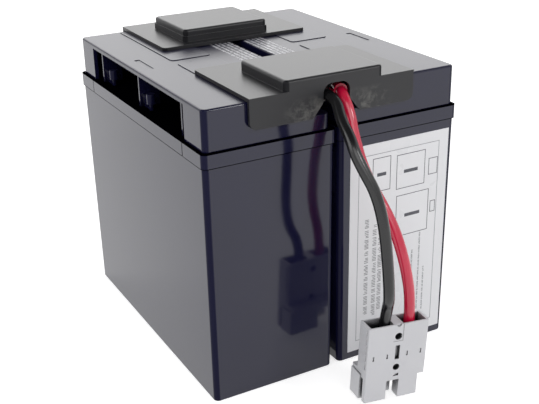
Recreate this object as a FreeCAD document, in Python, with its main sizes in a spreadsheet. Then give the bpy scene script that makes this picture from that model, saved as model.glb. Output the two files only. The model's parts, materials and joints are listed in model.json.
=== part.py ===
import FreeCAD
import Part

import math
import os
import re

import Sketcher
from FreeCAD import Placement, Rotation, Vector

# Battery cartridge for a rack UPS: two sealed 12 V lead-acid blocks side by side, turned end
# for end, joined in series under the rear cover and led out under the front cover to a
# genderless two-pole connector.
#
# Frame: +Z up, +Y along the length towards the series link, X across the pair. The origin is
# on the floor at the middle of the pair. The left block is modelled in place and the right
# block is the same block turned half a turn about Z.

DOC = FreeCAD.newDocument("battery_cartridge")

# name, value (mm or degrees), meaning
SIZES = (
    ("bat_length", 181.0, "length of one block over its collar"),
    ("bat_width", 77.5, "width of one block over its collar"),
    ("bat_gap", 1.7, "space between the two collars"),
    ("collar_low", 136.7, "underside of the lid's collar"),
    ("collar_top", 144.6, "top of the collar, where the lid steps in"),
    ("lid_top", 167.0, "top of the lid"),
    ("corner_radius", 3.0, "upright corners of case and lid"),
    ("case_inset", 0.7, "case inside the collar's face"),
    ("case_wall", 3.0, "case wall"),
    ("case_floor", 3.0, "case floor"),
    ("case_draft", 0.3, "moulding draft of the case, degrees"),
    ("base_radius", 0.7, "rounding of the case's lower edges"),
    ("partition", 1.6, "wall between two cells"),
    ("tongue_wall", 1.4, "case rim inside the collar"),
    ("glue_gap", 0.1, "adhesive line between rim and collar"),
    ("deck_thick", 2.0, "deck of the lid over the cells"),
    ("lid_inset", 1.7, "lid inside the collar, outer side and ends"),
    ("lid_inset_inner", 3.2, "lid inside the collar, terminal side"),
    ("lid_wall", 2.4, "upright walls of the lid"),
    ("roof_thick", 2.6, "roof of the lid"),
    ("lid_edge", 1.3, "rounding of the lid's upper edges"),
    ("window_front", 66.0, "side window ahead of the middle"),
    ("window_back", 67.5, "side window behind the middle"),
    ("joint_width", 0.8, "upright split in the collar at each window end"),
    ("joint_depth", 0.6, "depth of that split"),
    ("rib_thick", 1.4, "stiffening ribs in the lid"),
    ("rib_shift", 0.4, "lid ribs behind their cell wall"),
    ("rib_depth", 12.0, "lid ribs, into the lid"),
    ("rib_clear", 0.1, "lid ribs behind the window"),
    ("post_shift", 9.6, "lid posts ahead of their cell wall"),
    ("post_side", 5.4, "lid posts behind the lid's side face"),
    ("post_size", 5.0, "diameter of the lid posts"),
    ("post_top", 154.4, "top of the lid posts"),
    ("foot_size", 2.4, "diameter of the pin below a post"),
    ("foot_top", 148.6, "top of the pin below a post"),
    ("gusset_thick", 1.2, "low wall between a post and its rib"),
    ("gusset_top", 151.8, "top of that wall"),
    ("notch_width", 18.0, "terminal corner across the block"),
    ("notch_length", 27.0, "terminal corner along the block"),
    ("notch_floor", 153.2, "floor of the terminal corner"),
    ("vent_width", 25.0, "vent cover plate across"),
    ("vent_depth", 1.6, "seat of the vent cover plate"),
    ("vent_raise", 0.4, "vent cover plate above the lid"),
    ("vent_land", 7.0, "lid between the two vent cover plates"),
    ("vent_margin", 2.2, "lid beyond the vent cover plates"),
    ("vent_corner", 2.5, "corner radius of the vent cover plate"),
    ("vent_play", 0.15, "clearance round the vent cover plate"),
    ("well_size", 15.0, "bore round a vent tube"),
    ("well_wall", 1.5, "wall of that bore"),
    ("well_floor", 155.0, "bottom of that bore"),
    ("vent_slot", 3.0, "square vent from the well into the cell"),
    ("cap_size", 12.0, "rubber valve over the vent"),
    ("cap_play", 0.2, "valve below its cover plate"),
    ("mark_width", 3.2, "plain recess in the lid, across"),
    ("mark_length", 22.0, "plain recess in the lid, along"),
    ("mark_depth", 0.35, "plain recess in the lid, deep"),
    ("mark_side", 68.0, "plain recess from the middle of the pair"),
    ("mark_shift", 6.0, "plain recess behind the middle"),
    ("term_side", 8.95, "terminal bolts from the collar's inner face"),
    ("term_end", 19.5, "terminal bolts from the collar's end face"),
    ("term_size", 12.0, "terminal head"),
    ("term_top", 160.0, "seat of the terminal head"),
    ("term_step", 1.0, "underside of the terminal head above its seal"),
    ("pin_size", 8.0, "terminal pole through the lid"),
    ("seal_size", 10.0, "square cast seal round the pole"),
    ("seal_depth", 3.0, "cast seal"),
    ("bolt_size", 5.0, "terminal bolt"),
    ("bolt_depth", 8.2, "bolt hole in the terminal"),
    ("bolt_length", 11.0, "bolt below its head"),
    ("head_flats", 8.0, "bolt head across flats"),
    ("head_thick", 3.5, "bolt head"),
    ("washer_size", 10.0, "flat washer"),
    ("washer_thick", 1.0, "flat washer"),
    ("washer_hole", 5.3, "hole of washers and lugs"),
    ("spring_size", 9.0, "spring washer"),
    ("spring_thick", 1.3, "spring washer"),
    ("spring_split", 1.0, "opening of the spring washer"),
    ("lug_thick", 1.6, "palm of a cable lug and the series link"),
    ("lug_width", 11.0, "palm of a cable lug"),
    ("lug_neck", 7.5, "bolt to the start of the lug's barrel"),
    ("lug_barrel", 9.5, "length of the lug's barrel"),
    ("barrel_size", 7.4, "lug barrel outside"),
    ("barrel_bore", 4.4, "lug barrel inside"),
    ("barrel_stop", 1.0, "closed end of the lug's barrel"),
    ("link_width", 13.0, "series link across"),
    ("black_lug_turn", 11.0, "black lug turned toward the cable arch, degrees"),
    ("red_lug_turn", 21.0, "red lug turned toward the cable arch, degrees"),
    ("plate_play", 1.6, "cell plates inside the cell's side walls"),
    ("plate_height", 108.0, "cell plates, high"),
    ("positive_thick", 2.6, "positive plate"),
    ("negative_thick", 1.7, "negative plate"),
    ("tab_width", 9.0, "tab of a plate"),
    ("tab_height", 7.0, "tab of a plate, high"),
    ("tab_inset", 9.6, "tabs inside the cell's side walls"),
    ("strap_width", 14.0, "cast strap across the tabs"),
    ("strap_height", 7.0, "cast strap, high"),
    ("bridge_size", 6.0, "square bar of the strap through a cell wall"),
    ("cover_thick", 2.0, "wall of the end covers"),
    ("cover_corner", 2.6, "corners of the end covers"),
    ("skirt_corner", 4.0, "lower corners of the cover skirts"),
    ("skirt_gap", 0.8, "cover skirts clear of the lid's ends"),
    ("skirt_height", 14.5, "cover skirts below their plate"),
    ("front_left", 52.3, "front cover left of the middle"),
    ("front_right", 46.7, "front cover right of the middle"),
    ("front_back", 26.5, "rear edge of the front cover from the middle"),
    ("block_left", 32.0, "front block left of the middle"),
    ("block_right", 27.0, "front block right of the middle"),
    ("block_back", 42.3, "rear of the front block from the middle"),
    ("block_rise", 5.8, "front block above its plate"),
    ("block_edge", 1.6, "rounding of the blocks' upper edges"),
    ("arch_left", 9.6, "cable arch left of the middle"),
    ("arch_right", 6.4, "cable arch right of the middle"),
    ("arch_drop", 5.0, "crown of the cable arch below the block's top"),
    ("arch_corner", 5.0, "rounding of the cable arch's crown"),
    ("arch_flare", 6.2, "spread of the cable arch at its foot, each side"),
    ("flare_rise", 7.6, "spread of the cable arch, high"),
    ("rear_left", 47.7, "rear cover left of the middle"),
    ("rear_right", 48.5, "rear cover right of the middle"),
    ("rear_front", 24.6, "front edge of the rear cover from the middle"),
    ("rise_left", 31.0, "rear block left of the middle"),
    ("rise_right", 25.0, "rear block right of the middle"),
    ("rise_front", 31.5, "front of the rear block from the middle"),
    ("rise_inset", 13.9, "rear block inside the face of its skirt"),
    ("rise_height", 7.2, "rear block above its plate"),
    ("ledge_height", 3.4, "ledge round the rear block above its plate"),
    ("ledge_step", 0.6, "width of that ledge"),
    ("tape_top", 128.0, "upper edge of the foam tape"),
    ("tape_height", 24.0, "foam tape, high"),
    ("tape_length", 60.0, "foam tape, long"),
    ("tape_apart", 100.0, "middles of the two tapes apart"),
    ("label_left", 8.5, "face label from the middle of the pair"),
    ("label_width", 65.6, "face label across"),
    ("label_low", 4.6, "face label above the floor"),
    ("label_height", 126.8, "face label, high"),
    ("label_thick", 0.2, "face label"),
    ("plug_x", 6.6, "connector right of the middle"),
    ("plug_y", 130.9, "connector ahead of the middle"),
    ("plug_turn", 6.8, "connector turned clockwise from above, degrees"),
    ("plug_lean", 1.9, "connector leaning to the side of its tongue, degrees"),
    ("plug_lift", 3.7, "lowest corner of the connector above the floor, hung from its leads"),
    ("plug_width", 35.6, "connector body across"),
    ("plug_thick", 16.0, "connector body, thick"),
    ("plug_length", 46.3, "connector, mating end to cable end"),
    ("plug_edge", 0.8, "rounding of the connector's edges"),
    ("shoulder_top", 12.8, "shoulder beside the tongue"),
    ("hood_top", 15.4, "shoulder above the hood"),
    ("hood_step", 0.9, "hood beyond the body's side"),
    ("slot_left", 5.1, "mating slot left of the centre line"),
    ("slot_right", 2.3, "mating slot right of the centre line"),
    ("slot_top", 11.5, "top of the mating slot"),
    ("tongue_right", 13.7, "tongue right of the centre line"),
    ("tongue_thick", 6.2, "tongue"),
    ("web_right", 1.3, "web behind the slot, right of the centre line"),
    ("web_front", 7.3, "web behind the front face"),
    ("bay_side", 9.6, "cable bays from the connector's centre line"),
    ("bay_width", 13.6, "cable bay of the connector, across"),
    ("bay_depth", 13.2, "cable bay of the connector, deep"),
    ("bay_floor", 17.0, "bottom of the cable bay"),
    ("pole_side", 8.6, "contacts from the connector's centre line"),
    ("duct_width", 9.4, "contact duct across"),
    ("duct_depth", 8.6, "contact duct, deep"),
    ("slit_width", 2.2, "slit in the hood's side"),
    ("slit_front", 3.2, "that slit behind the front face"),
    ("slit_top", 13.8, "top of that slit"),
    ("pin_hole", 4.2, "upper pin hole"),
    ("pin_hole_low", 3.9, "lower pin hole"),
    ("pin_high", 39.0, "upper pin hole above the mating end"),
    ("pin_low", 19.7, "lower pin hole above the mating end"),
    ("key_width", 2.6, "latch slot, across"),
    ("key_low", 24.7, "latch slot, lower end"),
    ("key_high", 33.3, "latch slot, upper end"),
    ("key_depth", 3.0, "latch slot, deep"),
    ("latch_width", 0.9, "contact latch slots, across"),
    ("latch_high", 2.8, "contact latch slots, high"),
    ("latch_depth", 0.8, "contact latch slots, deep"),
    ("latch_level", 27.3, "contact latch slots above the mating end"),
    ("latch_inner", 6.0, "inner latch slots from the centre line"),
    ("latch_outer", 14.2, "outer latch slots from the centre line"),
    ("dimple_level", 14.8, "small recess over the mating slot, above the mating end"),
    ("dimple_width", 3.4, "that recess, across its foot"),
    ("dimple_high", 1.6, "that recess, high"),
    ("crest_size", 3.0, "round notch over the divider between the bays"),
    ("seam_width", 0.4, "moulding seam round the upper pin hole"),
    ("seam_depth", 0.3, "that seam, deep"),
    ("seam_side", 2.9, "that seam from the centre line"),
    ("seam_low", 35.9, "lower run of that seam above the mating end"),
    ("grip_pitch", 5.2, "spacing of the grip ribs"),
    ("grip_low", 20.2, "foot of the lowest grip rib"),
    ("grip_high", 4.7, "grip rib, high"),
    ("grip_proud", 0.9, "grip ribs beyond the body's side"),
    ("grip_width", 10.0, "grip ribs, along the thickness"),
    ("blade_width", 8.4, "contact blade"),
    ("blade_thick", 2.0, "contact blade, thick"),
    ("blade_low", 2.0, "end of the contact blades above the mating end"),
    ("crimp_size", 7.8, "contact barrel outside"),
    ("crimp_low", 22.0, "lower end of the contact barrel"),
    ("crimp_high", 36.0, "cable end of the contact barrel"),
    ("crimp_bore", 4.4, "contact barrel inside"),
    ("crimp_stop", 2.8, "closed end of the contact barrel"),
    ("leaf_thick", 0.5, "contact spring"),
    ("leaf_width", 7.0, "contact spring across"),
    ("lead_size", 6.0, "each lead outside"),
)

CELLS = 6
POSITIVES = 4
NEGATIVES = 5
SEPARATORS = POSITIVES + NEGATIVES - 1
GRIPS = 5
PAIR = 2

# Share of the shorter neighbouring run that each bend of a lead takes up.
BEND_SHARE = 0.45
VOLUME_TOLERANCE = 0.01

# Tolerance for telling edges apart by where they lie, mm.
NEAR = 1e-3
LEAN = 0.02
SHORT = 0.5

# Middle line of each lead: lug barrel, arch, free hang, connector barrel. Control points of
# straight runs that are joined by tangent arcs.
BLACK_ROUTE = (
    (-6.547, -87.737, 163.7),
    (-4.97, -95.85, 163.7),
    (-9.37, -106.7, 159.46),
    (-12.19, -116.94, 151.16),
    (-9.93, -128.92, 135.79),
    (-3.93, -139.99, 111.74),
    (-1.84, -142.89, 80.51),
    (-0.21, -130.09, 56.93),
    (-0.749, -130.024, 40.44),
)
RED_ROUTE = (
    (3.69, -86.918, 163.7),
    (0.464, -95.32, 163.7),
    (0.07, -102.59, 157.91),
    (-1.11, -109.13, 147.32),
    (0.95, -117.63, 131.89),
    (6.77, -129.52, 108.86),
    (12.51, -136.53, 82.9),
    (16.93, -132.13, 58.36),
    (16.321, -132.059, 39.869),
)


def make_sheet(rows):
    """Return the spreadsheet that holds one aliased cell for each driving size."""
    sheet = DOC.addObject("Spreadsheet::Sheet", "dims")
    for row, (name, value, meaning) in enumerate(rows, start=1):
        sheet.set(f"A{row}", name)
        sheet.set(f"B{row}", str(value))
        sheet.setAlias(f"B{row}", name)
        sheet.set(f"C{row}", meaning)
    DOC.recompute()
    return sheet


SHEET = make_sheet(SIZES)
NAMES = {name for name, _value, _meaning in SIZES}


def size(name):
    """Return one driving size from the sheet."""
    return float(SHEET.get(name))


def bound(text):
    """Return the expression text with every size name pointed at its cell."""
    return re.sub(r"[a-z][a-z_]*", lambda hit: f"dims.{hit[0]}" if hit[0] in NAMES else hit[0], text)


# Places that several pieces share, as expressions of the driving sizes.
LEFT_OUTER = "(-(bat_gap / 2 + bat_width))"
LEFT_INNER = "(-bat_gap / 2)"
LEFT_MIDDLE = "(-(bat_gap + bat_width) / 2)"
HALF = "(bat_length / 2)"
CELL_WIDTH = "(bat_width - 2 * case_inset - 2 * case_wall)"
CELL_SPAN = "(bat_length - 2 * case_inset - 2 * case_wall)"
CELL_DEPTH = f"(({CELL_SPAN} - {CELLS - 1} * partition) / {CELLS})"
CELL_PITCH = f"({CELL_DEPTH} + partition)"
DECK_LOW = "(collar_top - deck_thick)"
LID_LEFT = f"({LEFT_OUTER} + lid_inset)"
LID_RIGHT = f"({LEFT_INNER} - lid_inset_inner)"
LID_END = f"({HALF} - lid_inset)"
VENT_SEAT = "(lid_top - vent_depth)"
PLATE_LOW = "(lid_top + vent_raise)"
SEPARATOR_THICK = (
    f"(({CELL_DEPTH} - {POSITIVES} * positive_thick - {NEGATIVES} * negative_thick) / {SEPARATORS})"
)
PLATE_PITCH = f"(positive_thick + negative_thick + 2 * {SEPARATOR_THICK})"
PLATE_TOP = "(case_floor + plate_height)"
STRAP_LOW = f"({PLATE_TOP} + tab_height)"
BRIDGE_HEIGHT = f"({STRAP_LOW} + strap_height / 2)"
BOLT_SEAT = "(term_top + lug_thick + washer_thick + spring_thick)"
TERM_SIDE = "(bat_gap / 2 + term_side)"
TERM_END = f"({HALF} - term_end)"
PLATE_WIDTH = f"({CELL_WIDTH} - 2 * plate_play)"
TAB_SIDE = f"({CELL_WIDTH} / 2 - tab_inset)"
COVER_REACH = f"({LID_END} + skirt_gap + cover_thick)"
SKIRT_LOW = f"({PLATE_LOW} - skirt_height)"


# ---------------------------------------------------------------------------- helpers

def new_body(label):
    """Return an empty body that is named like its file."""
    body = DOC.addObject("PartDesign::Body", label)
    body.Label = label
    return body


def origin_part(body, role):
    """Return a plane or an axis of the body's own origin."""
    return next(item for item in body.Origin.OriginFeatures if item.Role == role)


def new_sketch(body, name, plane, level="0", along="0", across="0"):
    """Return a sketch on one of the body's origin planes, lifted off it by level."""
    sketch = body.newObject("Sketcher::SketchObject", f"{body.Name}_{name}")
    sketch.AttachmentSupport = (origin_part(body, plane), [""])
    sketch.MapMode = "FlatFace"
    sketch.setExpression(".AttachmentOffset.Base.z", bound(level))
    sketch.setExpression(".AttachmentOffset.Base.x", bound(along))
    sketch.setExpression(".AttachmentOffset.Base.y", bound(across))
    return sketch


def add_polygon(sketch, corners):
    """Draw a closed polygon whose corners are pairs of expressions."""
    first = sketch.GeometryCount
    count = len(corners)
    for i in range(count):
        start = 2 * math.pi * i / count
        end = 2 * math.pi * (i + 1) / count
        line = Part.LineSegment(
            Vector(math.cos(start), math.sin(start), 0), Vector(math.cos(end), math.sin(end), 0))
        sketch.addGeometry(line, False)
    for i in range(count):
        sketch.addConstraint(Sketcher.Constraint("Coincident", first + i, 2, first + (i + 1) % count, 1))
    for i, (right, up) in enumerate(corners):
        for kind, text in (("DistanceX", right), ("DistanceY", up)):
            index = sketch.addConstraint(Sketcher.Constraint(kind, -1, 1, first + i, 1, 1.0))
            sketch.setExpression(f"Constraints[{index}]", bound(text))


def add_rectangle(sketch, left, low, right, high):
    """Draw an upright rectangle between two corners."""
    add_polygon(sketch, ((left, low), (right, low), (right, high), (left, high)))


def add_square(sketch, right, up, width):
    """Draw an upright square about a centre."""
    add_rectangle(sketch, f"{right} - {width} / 2", f"{up} - {width} / 2",
                  f"{right} + {width} / 2", f"{up} + {width} / 2")


def add_circle(sketch, right, up, diameter):
    """Draw a circle about a centre."""
    index = sketch.addGeometry(Part.Circle(Vector(1, 1, 0), Vector(0, 0, 1), 1.0), False)
    for kind, text in (("DistanceX", right), ("DistanceY", up)):
        place = sketch.addConstraint(Sketcher.Constraint(kind, -1, 1, index, 3, 1.0))
        sketch.setExpression(f"Constraints[{place}]", bound(text))
    width = sketch.addConstraint(Sketcher.Constraint("Radius", index, 1.0))
    sketch.setExpression(f"Constraints[{width}]", bound(f"({diameter}) / 2"))


def volume(body):
    """Return the volume of the body so far."""
    return body.Tip.Shape.Volume if body.Tip and not body.Tip.Shape.isNull() else 0.0


def add_feature(body, kind, sketch, length, reverse, grows, taper=None):
    """Pad or pocket a sketch and check that the body gained or lost material."""
    before = volume(body)
    feature = body.newObject(f"PartDesign::{kind}", f"{sketch.Name}_{kind.lower()}")
    feature.Profile = sketch
    feature.setExpression("Length", bound(length))
    feature.Reversed = reverse
    if taper:
        feature.setExpression("TaperAngle", bound(taper))
    sketch.Visibility = False
    DOC.recompute()
    if (volume(body) > before) != grows:
        raise RuntimeError(f"{feature.Name} changes nothing")
    return feature


def pad(body, sketch, length, reverse=False, taper=None):
    """Pad a sketch along its normal."""
    return add_feature(body, "Pad", sketch, length, reverse, True, taper)


def pocket(body, sketch, length, reverse=False):
    """Cut a sketch against its normal."""
    return add_feature(body, "Pocket", sketch, length, reverse, False)


def block(body, name, left, low, right, high, floor, height):
    """Pad an upright block from floor to floor + height."""
    sketch = new_sketch(body, name, "XY_Plane", floor)
    add_rectangle(sketch, left, low, right, high)
    return pad(body, sketch, height)


def cut_block(body, name, left, low, right, high, ceiling, depth):
    """Cut an upright block from the ceiling down by depth."""
    sketch = new_sketch(body, name, "XY_Plane", ceiling)
    add_rectangle(sketch, left, low, right, high)
    return pocket(body, sketch, depth)


def upright(edge):
    """Tell whether an edge is straight and parallel to Z, but for moulding draft."""
    box = edge.BoundBox
    sway = NEAR + LEAN * box.ZLength
    return box.ZLength > SHORT and box.XLength < sway and box.YLength < sway


def level_at(height):
    """Return a test for edges that lie flat at a height."""
    return lambda edge: max(abs(edge.BoundBox.ZMin - height), abs(edge.BoundBox.ZMax - height)) < NEAR


def round_edges(body, name, radius, test):
    """Fillet the edges of the body's tip that pass a test."""
    base = body.Tip
    picked = [f"Edge{i}" for i, edge in enumerate(base.Shape.Edges, start=1) if test(edge)]
    if not picked:
        raise RuntimeError(f"no edge for {body.Name}_{name}")
    fillet = body.newObject("PartDesign::Fillet", f"{body.Name}_{name}")
    fillet.Base = (base, picked)
    fillet.setExpression("Radius", bound(radius))
    DOC.recompute()
    return fillet


def row_of(body, features, name, axis, pitch, count):
    """Repeat features along an axis of the body's origin."""
    pattern = body.newObject("PartDesign::LinearPattern", f"{body.Name}_{name}")
    pattern.Originals = list(features)
    pattern.Direction = (origin_part(body, axis), [""])
    pattern.Occurrences = count
    pattern.setExpression("Length", bound(f"{count - 1} * {pitch}"))
    body.Tip = pattern
    DOC.recompute()
    return pattern


def grid_of(body, features, name, rows):
    """Repeat features by several rows, each an axis, a pitch and a count."""
    grid = body.newObject("PartDesign::MultiTransform", f"{body.Name}_{name}")
    grid.Originals = list(features)
    steps = []
    for i, (axis, pitch, count) in enumerate(rows):
        step = body.newObject("PartDesign::LinearPattern", f"{body.Name}_{name}_{i}")
        step.Direction = (origin_part(body, axis), [""])
        step.Occurrences = count
        step.setExpression("Length", bound(f"{count - 1} * {pitch}"))
        steps.append(step)
    grid.Transformations = steps
    body.Tip = grid
    DOC.recompute()
    return grid


def half_turn(label, source):
    """Return a copy of a left piece, turned half a turn about Z."""
    copy = DOC.addObject("Part::Compound", label)
    copy.Label = label
    copy.Links = [source]
    copy.Placement = Placement(Vector(0, 0, 0), Rotation(Vector(0, 0, 1), 180))
    return copy


# ---------------------------------------------------------------------------- one block

def make_container():
    """Moulded case: six cells in a row, a rim that enters the lid's collar."""
    body = new_body("left_container")
    outer = new_sketch(body, "outer", "XY_Plane", "collar_low")
    add_rectangle(outer, f"{LEFT_OUTER} + case_inset", f"-{HALF} + case_inset",
                  f"{LEFT_INNER} - case_inset", f"{HALF} - case_inset")
    pad(body, outer, "collar_low", reverse=True, taper="-case_draft")
    round_edges(body, "corners", "corner_radius", upright)
    round_edges(body, "base", "base_radius", level_at(0.0))
    rim = "case_inset + case_wall - tongue_wall"
    block(body, "rim", f"{LEFT_OUTER} + {rim}", f"-{HALF} + {rim}", f"{LEFT_INNER} - ({rim})",
          f"{HALF} - ({rim})", "collar_low", f"{DECK_LOW} - collar_low")
    cell = cut_block(body, "cell", f"{LEFT_MIDDLE} - {CELL_WIDTH} / 2", f"-{CELL_SPAN} / 2",
                     f"{LEFT_MIDDLE} + {CELL_WIDTH} / 2", f"-{CELL_SPAN} / 2 + {CELL_DEPTH}",
                     DECK_LOW, f"{DECK_LOW} - case_floor")
    row_of(body, [cell], "cells", "Y_Axis", CELL_PITCH, CELLS)
    first_wall = f"(-{CELL_SPAN} / 2 + {CELL_DEPTH})"
    for name, side, start, count in (("outer_bridges", "-", 0, 3), ("inner_bridges", "+", 1, 2)):
        hole = new_sketch(body, name, "XZ_Plane", f"-({first_wall} + {start} * {CELL_PITCH})")
        add_square(hole, f"({LEFT_MIDDLE} {side} {TAB_SIDE})", BRIDGE_HEIGHT, "bridge_size")
        opening = pocket(body, hole, "partition")
        row_of(body, [opening], f"{name}_row", "Y_Axis", f"2 * {CELL_PITCH}", count)
    return body


def make_lid():
    """Moulded lid: collar, hollow upper part with a side window, vent wells, terminal corners."""
    body = new_body("left_lid")
    block(body, "collar", LEFT_OUTER, f"-{HALF}", LEFT_INNER, HALF, "collar_low", "collar_top - collar_low")
    block(body, "upper", LID_LEFT, f"-{LID_END}", LID_RIGHT, LID_END, "collar_top", "lid_top - collar_top")
    round_edges(body, "corners", "corner_radius", upright)
    round_edges(body, "top_edge", "lid_edge", level_at(size("lid_top")))

    rim = "case_inset + case_wall - tongue_wall - glue_gap"
    seat = new_sketch(body, "seat", "XY_Plane", "collar_low")
    add_rectangle(seat, f"{LEFT_OUTER} + {rim}", f"-{HALF} + {rim}", f"{LEFT_INNER} - ({rim})",
                  f"{HALF} - ({rim})")
    pocket(body, seat, f"{DECK_LOW} - collar_low", reverse=True)

    side = new_sketch(body, "window", "YZ_Plane", LID_LEFT)
    add_rectangle(side, "-window_front", "collar_top", "window_back", "lid_top - roof_thick")
    pocket(body, side, "lid_wall", reverse=True)

    hollow = new_sketch(body, "hollow", "XY_Plane", "collar_top")
    narrow = f"{LID_RIGHT} - notch_width - lid_wall"
    notch = f"({LID_END} - notch_length - lid_wall)"
    left, right, end = f"{LID_LEFT} + lid_wall", f"{LID_RIGHT} - lid_wall", f"({LID_END} - lid_wall)"
    add_polygon(hollow, (
        (left, f"-{end}"), (narrow, f"-{end}"), (narrow, f"-{notch}"), (right, f"-{notch}"),
        (right, notch), (narrow, notch), (narrow, end), (left, end)))
    for i in range(CELLS):
        add_circle(hollow, LEFT_MIDDLE, f"({i} - {(CELLS - 1) / 2}) * {CELL_PITCH}",
                   "well_size + 2 * well_wall")
    for i in (-1, 0, 1):
        place = f"{2 * i} * {CELL_PITCH} + rib_shift"
        add_rectangle(hollow, f"{left} + rib_clear", f"{place} - rib_thick / 2",
                      f"{left} + rib_depth", f"{place} + rib_thick / 2")
    pocket(body, hollow, "lid_top - roof_thick - collar_top", reverse=True)

    row = f"({LID_LEFT} + post_side)"
    for name, width, low, high in (("foot", "foot_size", "collar_top", "foot_top"),
                                   ("post", "post_size", "foot_top", "post_top")):
        sketch = new_sketch(body, name, "XY_Plane", low)
        for i in (0, 1):
            add_circle(sketch, row, f"{2 * i} * {CELL_PITCH} - post_shift", width)
        pad(body, sketch, f"{high} - {low}")
    gussets = new_sketch(body, "gussets", "XY_Plane", "collar_top")
    for i in (0, 1):
        wall = f"{2 * i} * {CELL_PITCH}"
        add_rectangle(gussets, f"{row} - gusset_thick / 2", f"{wall} - post_shift + foot_size / 4",
                      f"{row} + gusset_thick / 2", f"{wall} + rib_shift")
    pad(body, gussets, "gusset_top - collar_top")

    for name, low, high in (("front_seat", f"-{LID_END} + vent_margin", "-vent_land / 2"),
                            ("rear_seat", "vent_land / 2", f"{LID_END} - vent_margin")):
        cut_block(body, name, f"{LEFT_MIDDLE} - vent_width / 2", low,
                  f"{LEFT_MIDDLE} + vent_width / 2", high, "lid_top", "vent_depth")
    seat_floor = size("lid_top") - size("vent_depth")
    middle = -(size("bat_gap") + size("bat_width")) / 2
    half_width = size("vent_width") / 2
    round_edges(body, "seat_corners", "vent_corner", lambda edge: upright(edge)
                and edge.BoundBox.ZMin > seat_floor - NEAR
                and abs(abs(edge.BoundBox.XMin - middle) - half_width) < NEAR)

    first = f"(-{(CELLS - 1) / 2} * {CELL_PITCH})"
    mouth = new_sketch(body, "well", "XY_Plane", VENT_SEAT)
    add_circle(mouth, LEFT_MIDDLE, first, "well_size")
    well = pocket(body, mouth, f"{VENT_SEAT} - well_floor")
    slot = new_sketch(body, "vent_slot", "XY_Plane", "well_floor")
    add_square(slot, LEFT_MIDDLE, first, "vent_slot")
    vent = pocket(body, slot, f"well_floor - {DECK_LOW}")
    row_of(body, [well, vent], "wells", "Y_Axis", CELL_PITCH, CELLS)

    for name, sign in (("front", "-"), ("rear", "")):
        ends = (f"{sign}({LID_END} + lid_inset)", f"{sign}({LID_END} - notch_length)")
        low, high = ends if sign else ends[::-1]
        cut_block(body, f"{name}_notch", f"{LID_RIGHT} - notch_width", low,
                  f"{LID_RIGHT} + lid_inset", high, "lid_top", "lid_top - notch_floor")
        sketch = new_sketch(body, f"{name}_seal", "XY_Plane", "notch_floor")
        add_square(sketch, f"-{TERM_SIDE}", f"{sign}{TERM_END}", "seal_size")
        pocket(body, sketch, "seal_depth")
        sketch = new_sketch(body, f"{name}_pole", "XY_Plane", "notch_floor")
        add_circle(sketch, f"-{TERM_SIDE}", f"{sign}{TERM_END}", "pin_size")
        pocket(body, sketch, f"notch_floor - {DECK_LOW}")

    for name, place in (("front_split", "-window_front"), ("rear_split", "window_back")):
        sketch = new_sketch(body, name, "YZ_Plane", LEFT_OUTER)
        add_rectangle(sketch, f"{place} - joint_width / 2", "collar_low",
                      f"{place} + joint_width / 2", "collar_top")
        pocket(body, sketch, "joint_depth", reverse=True)
    cut_block(body, "mark", "-mark_side - mark_width / 2", "mark_shift - mark_length / 2",
              "-mark_side + mark_width / 2", "mark_shift + mark_length / 2", "lid_top", "mark_depth")
    return body


def make_vent_plate(label, low, high):
    """Snap-in plate over three vent wells."""
    body = new_body(label)
    block(body, "plate", f"{LEFT_MIDDLE} - vent_width / 2 + vent_play", f"{low} + vent_play",
          f"{LEFT_MIDDLE} + vent_width / 2 - vent_play", f"{high} - vent_play", VENT_SEAT,
          "vent_depth + vent_raise")
    round_edges(body, "corners", "vent_corner - vent_play", upright)
    return body


def make_vent_caps():
    """Six rubber valves, each standing in its well over the vent."""
    body = new_body("left_vent_caps")
    sketch = new_sketch(body, "valve", "XY_Plane", "well_floor")
    add_circle(sketch, LEFT_MIDDLE, f"(-{(CELLS - 1) / 2} * {CELL_PITCH})", "cap_size")
    valve = pad(body, sketch, f"{VENT_SEAT} - cap_play - well_floor")
    row_of(body, [valve], "row", "Y_Axis", CELL_PITCH, CELLS)
    return body


def make_terminals():
    """Two cast poles with threaded heads, from the end cells' straps to the terminal corners."""
    body = new_body("left_terminals")
    strap_top = f"({STRAP_LOW} + strap_height)"
    underside = "(notch_floor + term_step)"
    for name, width, low, high in (("pole", "pin_size", strap_top, underside),
                                   ("head", "term_size", underside, "term_top")):
        sketch = new_sketch(body, name, "XY_Plane", low)
        for sign in ("-", ""):
            add_circle(sketch, f"-{TERM_SIDE}", f"{sign}{TERM_END}", width)
        pad(body, sketch, f"{high} - {low}")
    hole = new_sketch(body, "hole", "XY_Plane", "term_top")
    for sign in ("-", ""):
        add_circle(hole, f"-{TERM_SIDE}", f"{sign}{TERM_END}", "bolt_size")
    pocket(body, hole, "bolt_depth")
    return body


def make_terminal_seals():
    """Two square pads of cast resin that close the lid round the poles."""
    body = new_body("left_terminal_seals")
    sketch = new_sketch(body, "pads", "XY_Plane", "notch_floor")
    for sign in ("-", ""):
        add_square(sketch, f"-{TERM_SIDE}", f"{sign}{TERM_END}", "seal_size")
        add_circle(sketch, f"-{TERM_SIDE}", f"{sign}{TERM_END}", "pin_size")
    pad(body, sketch, "seal_depth", reverse=True)
    return body


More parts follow.
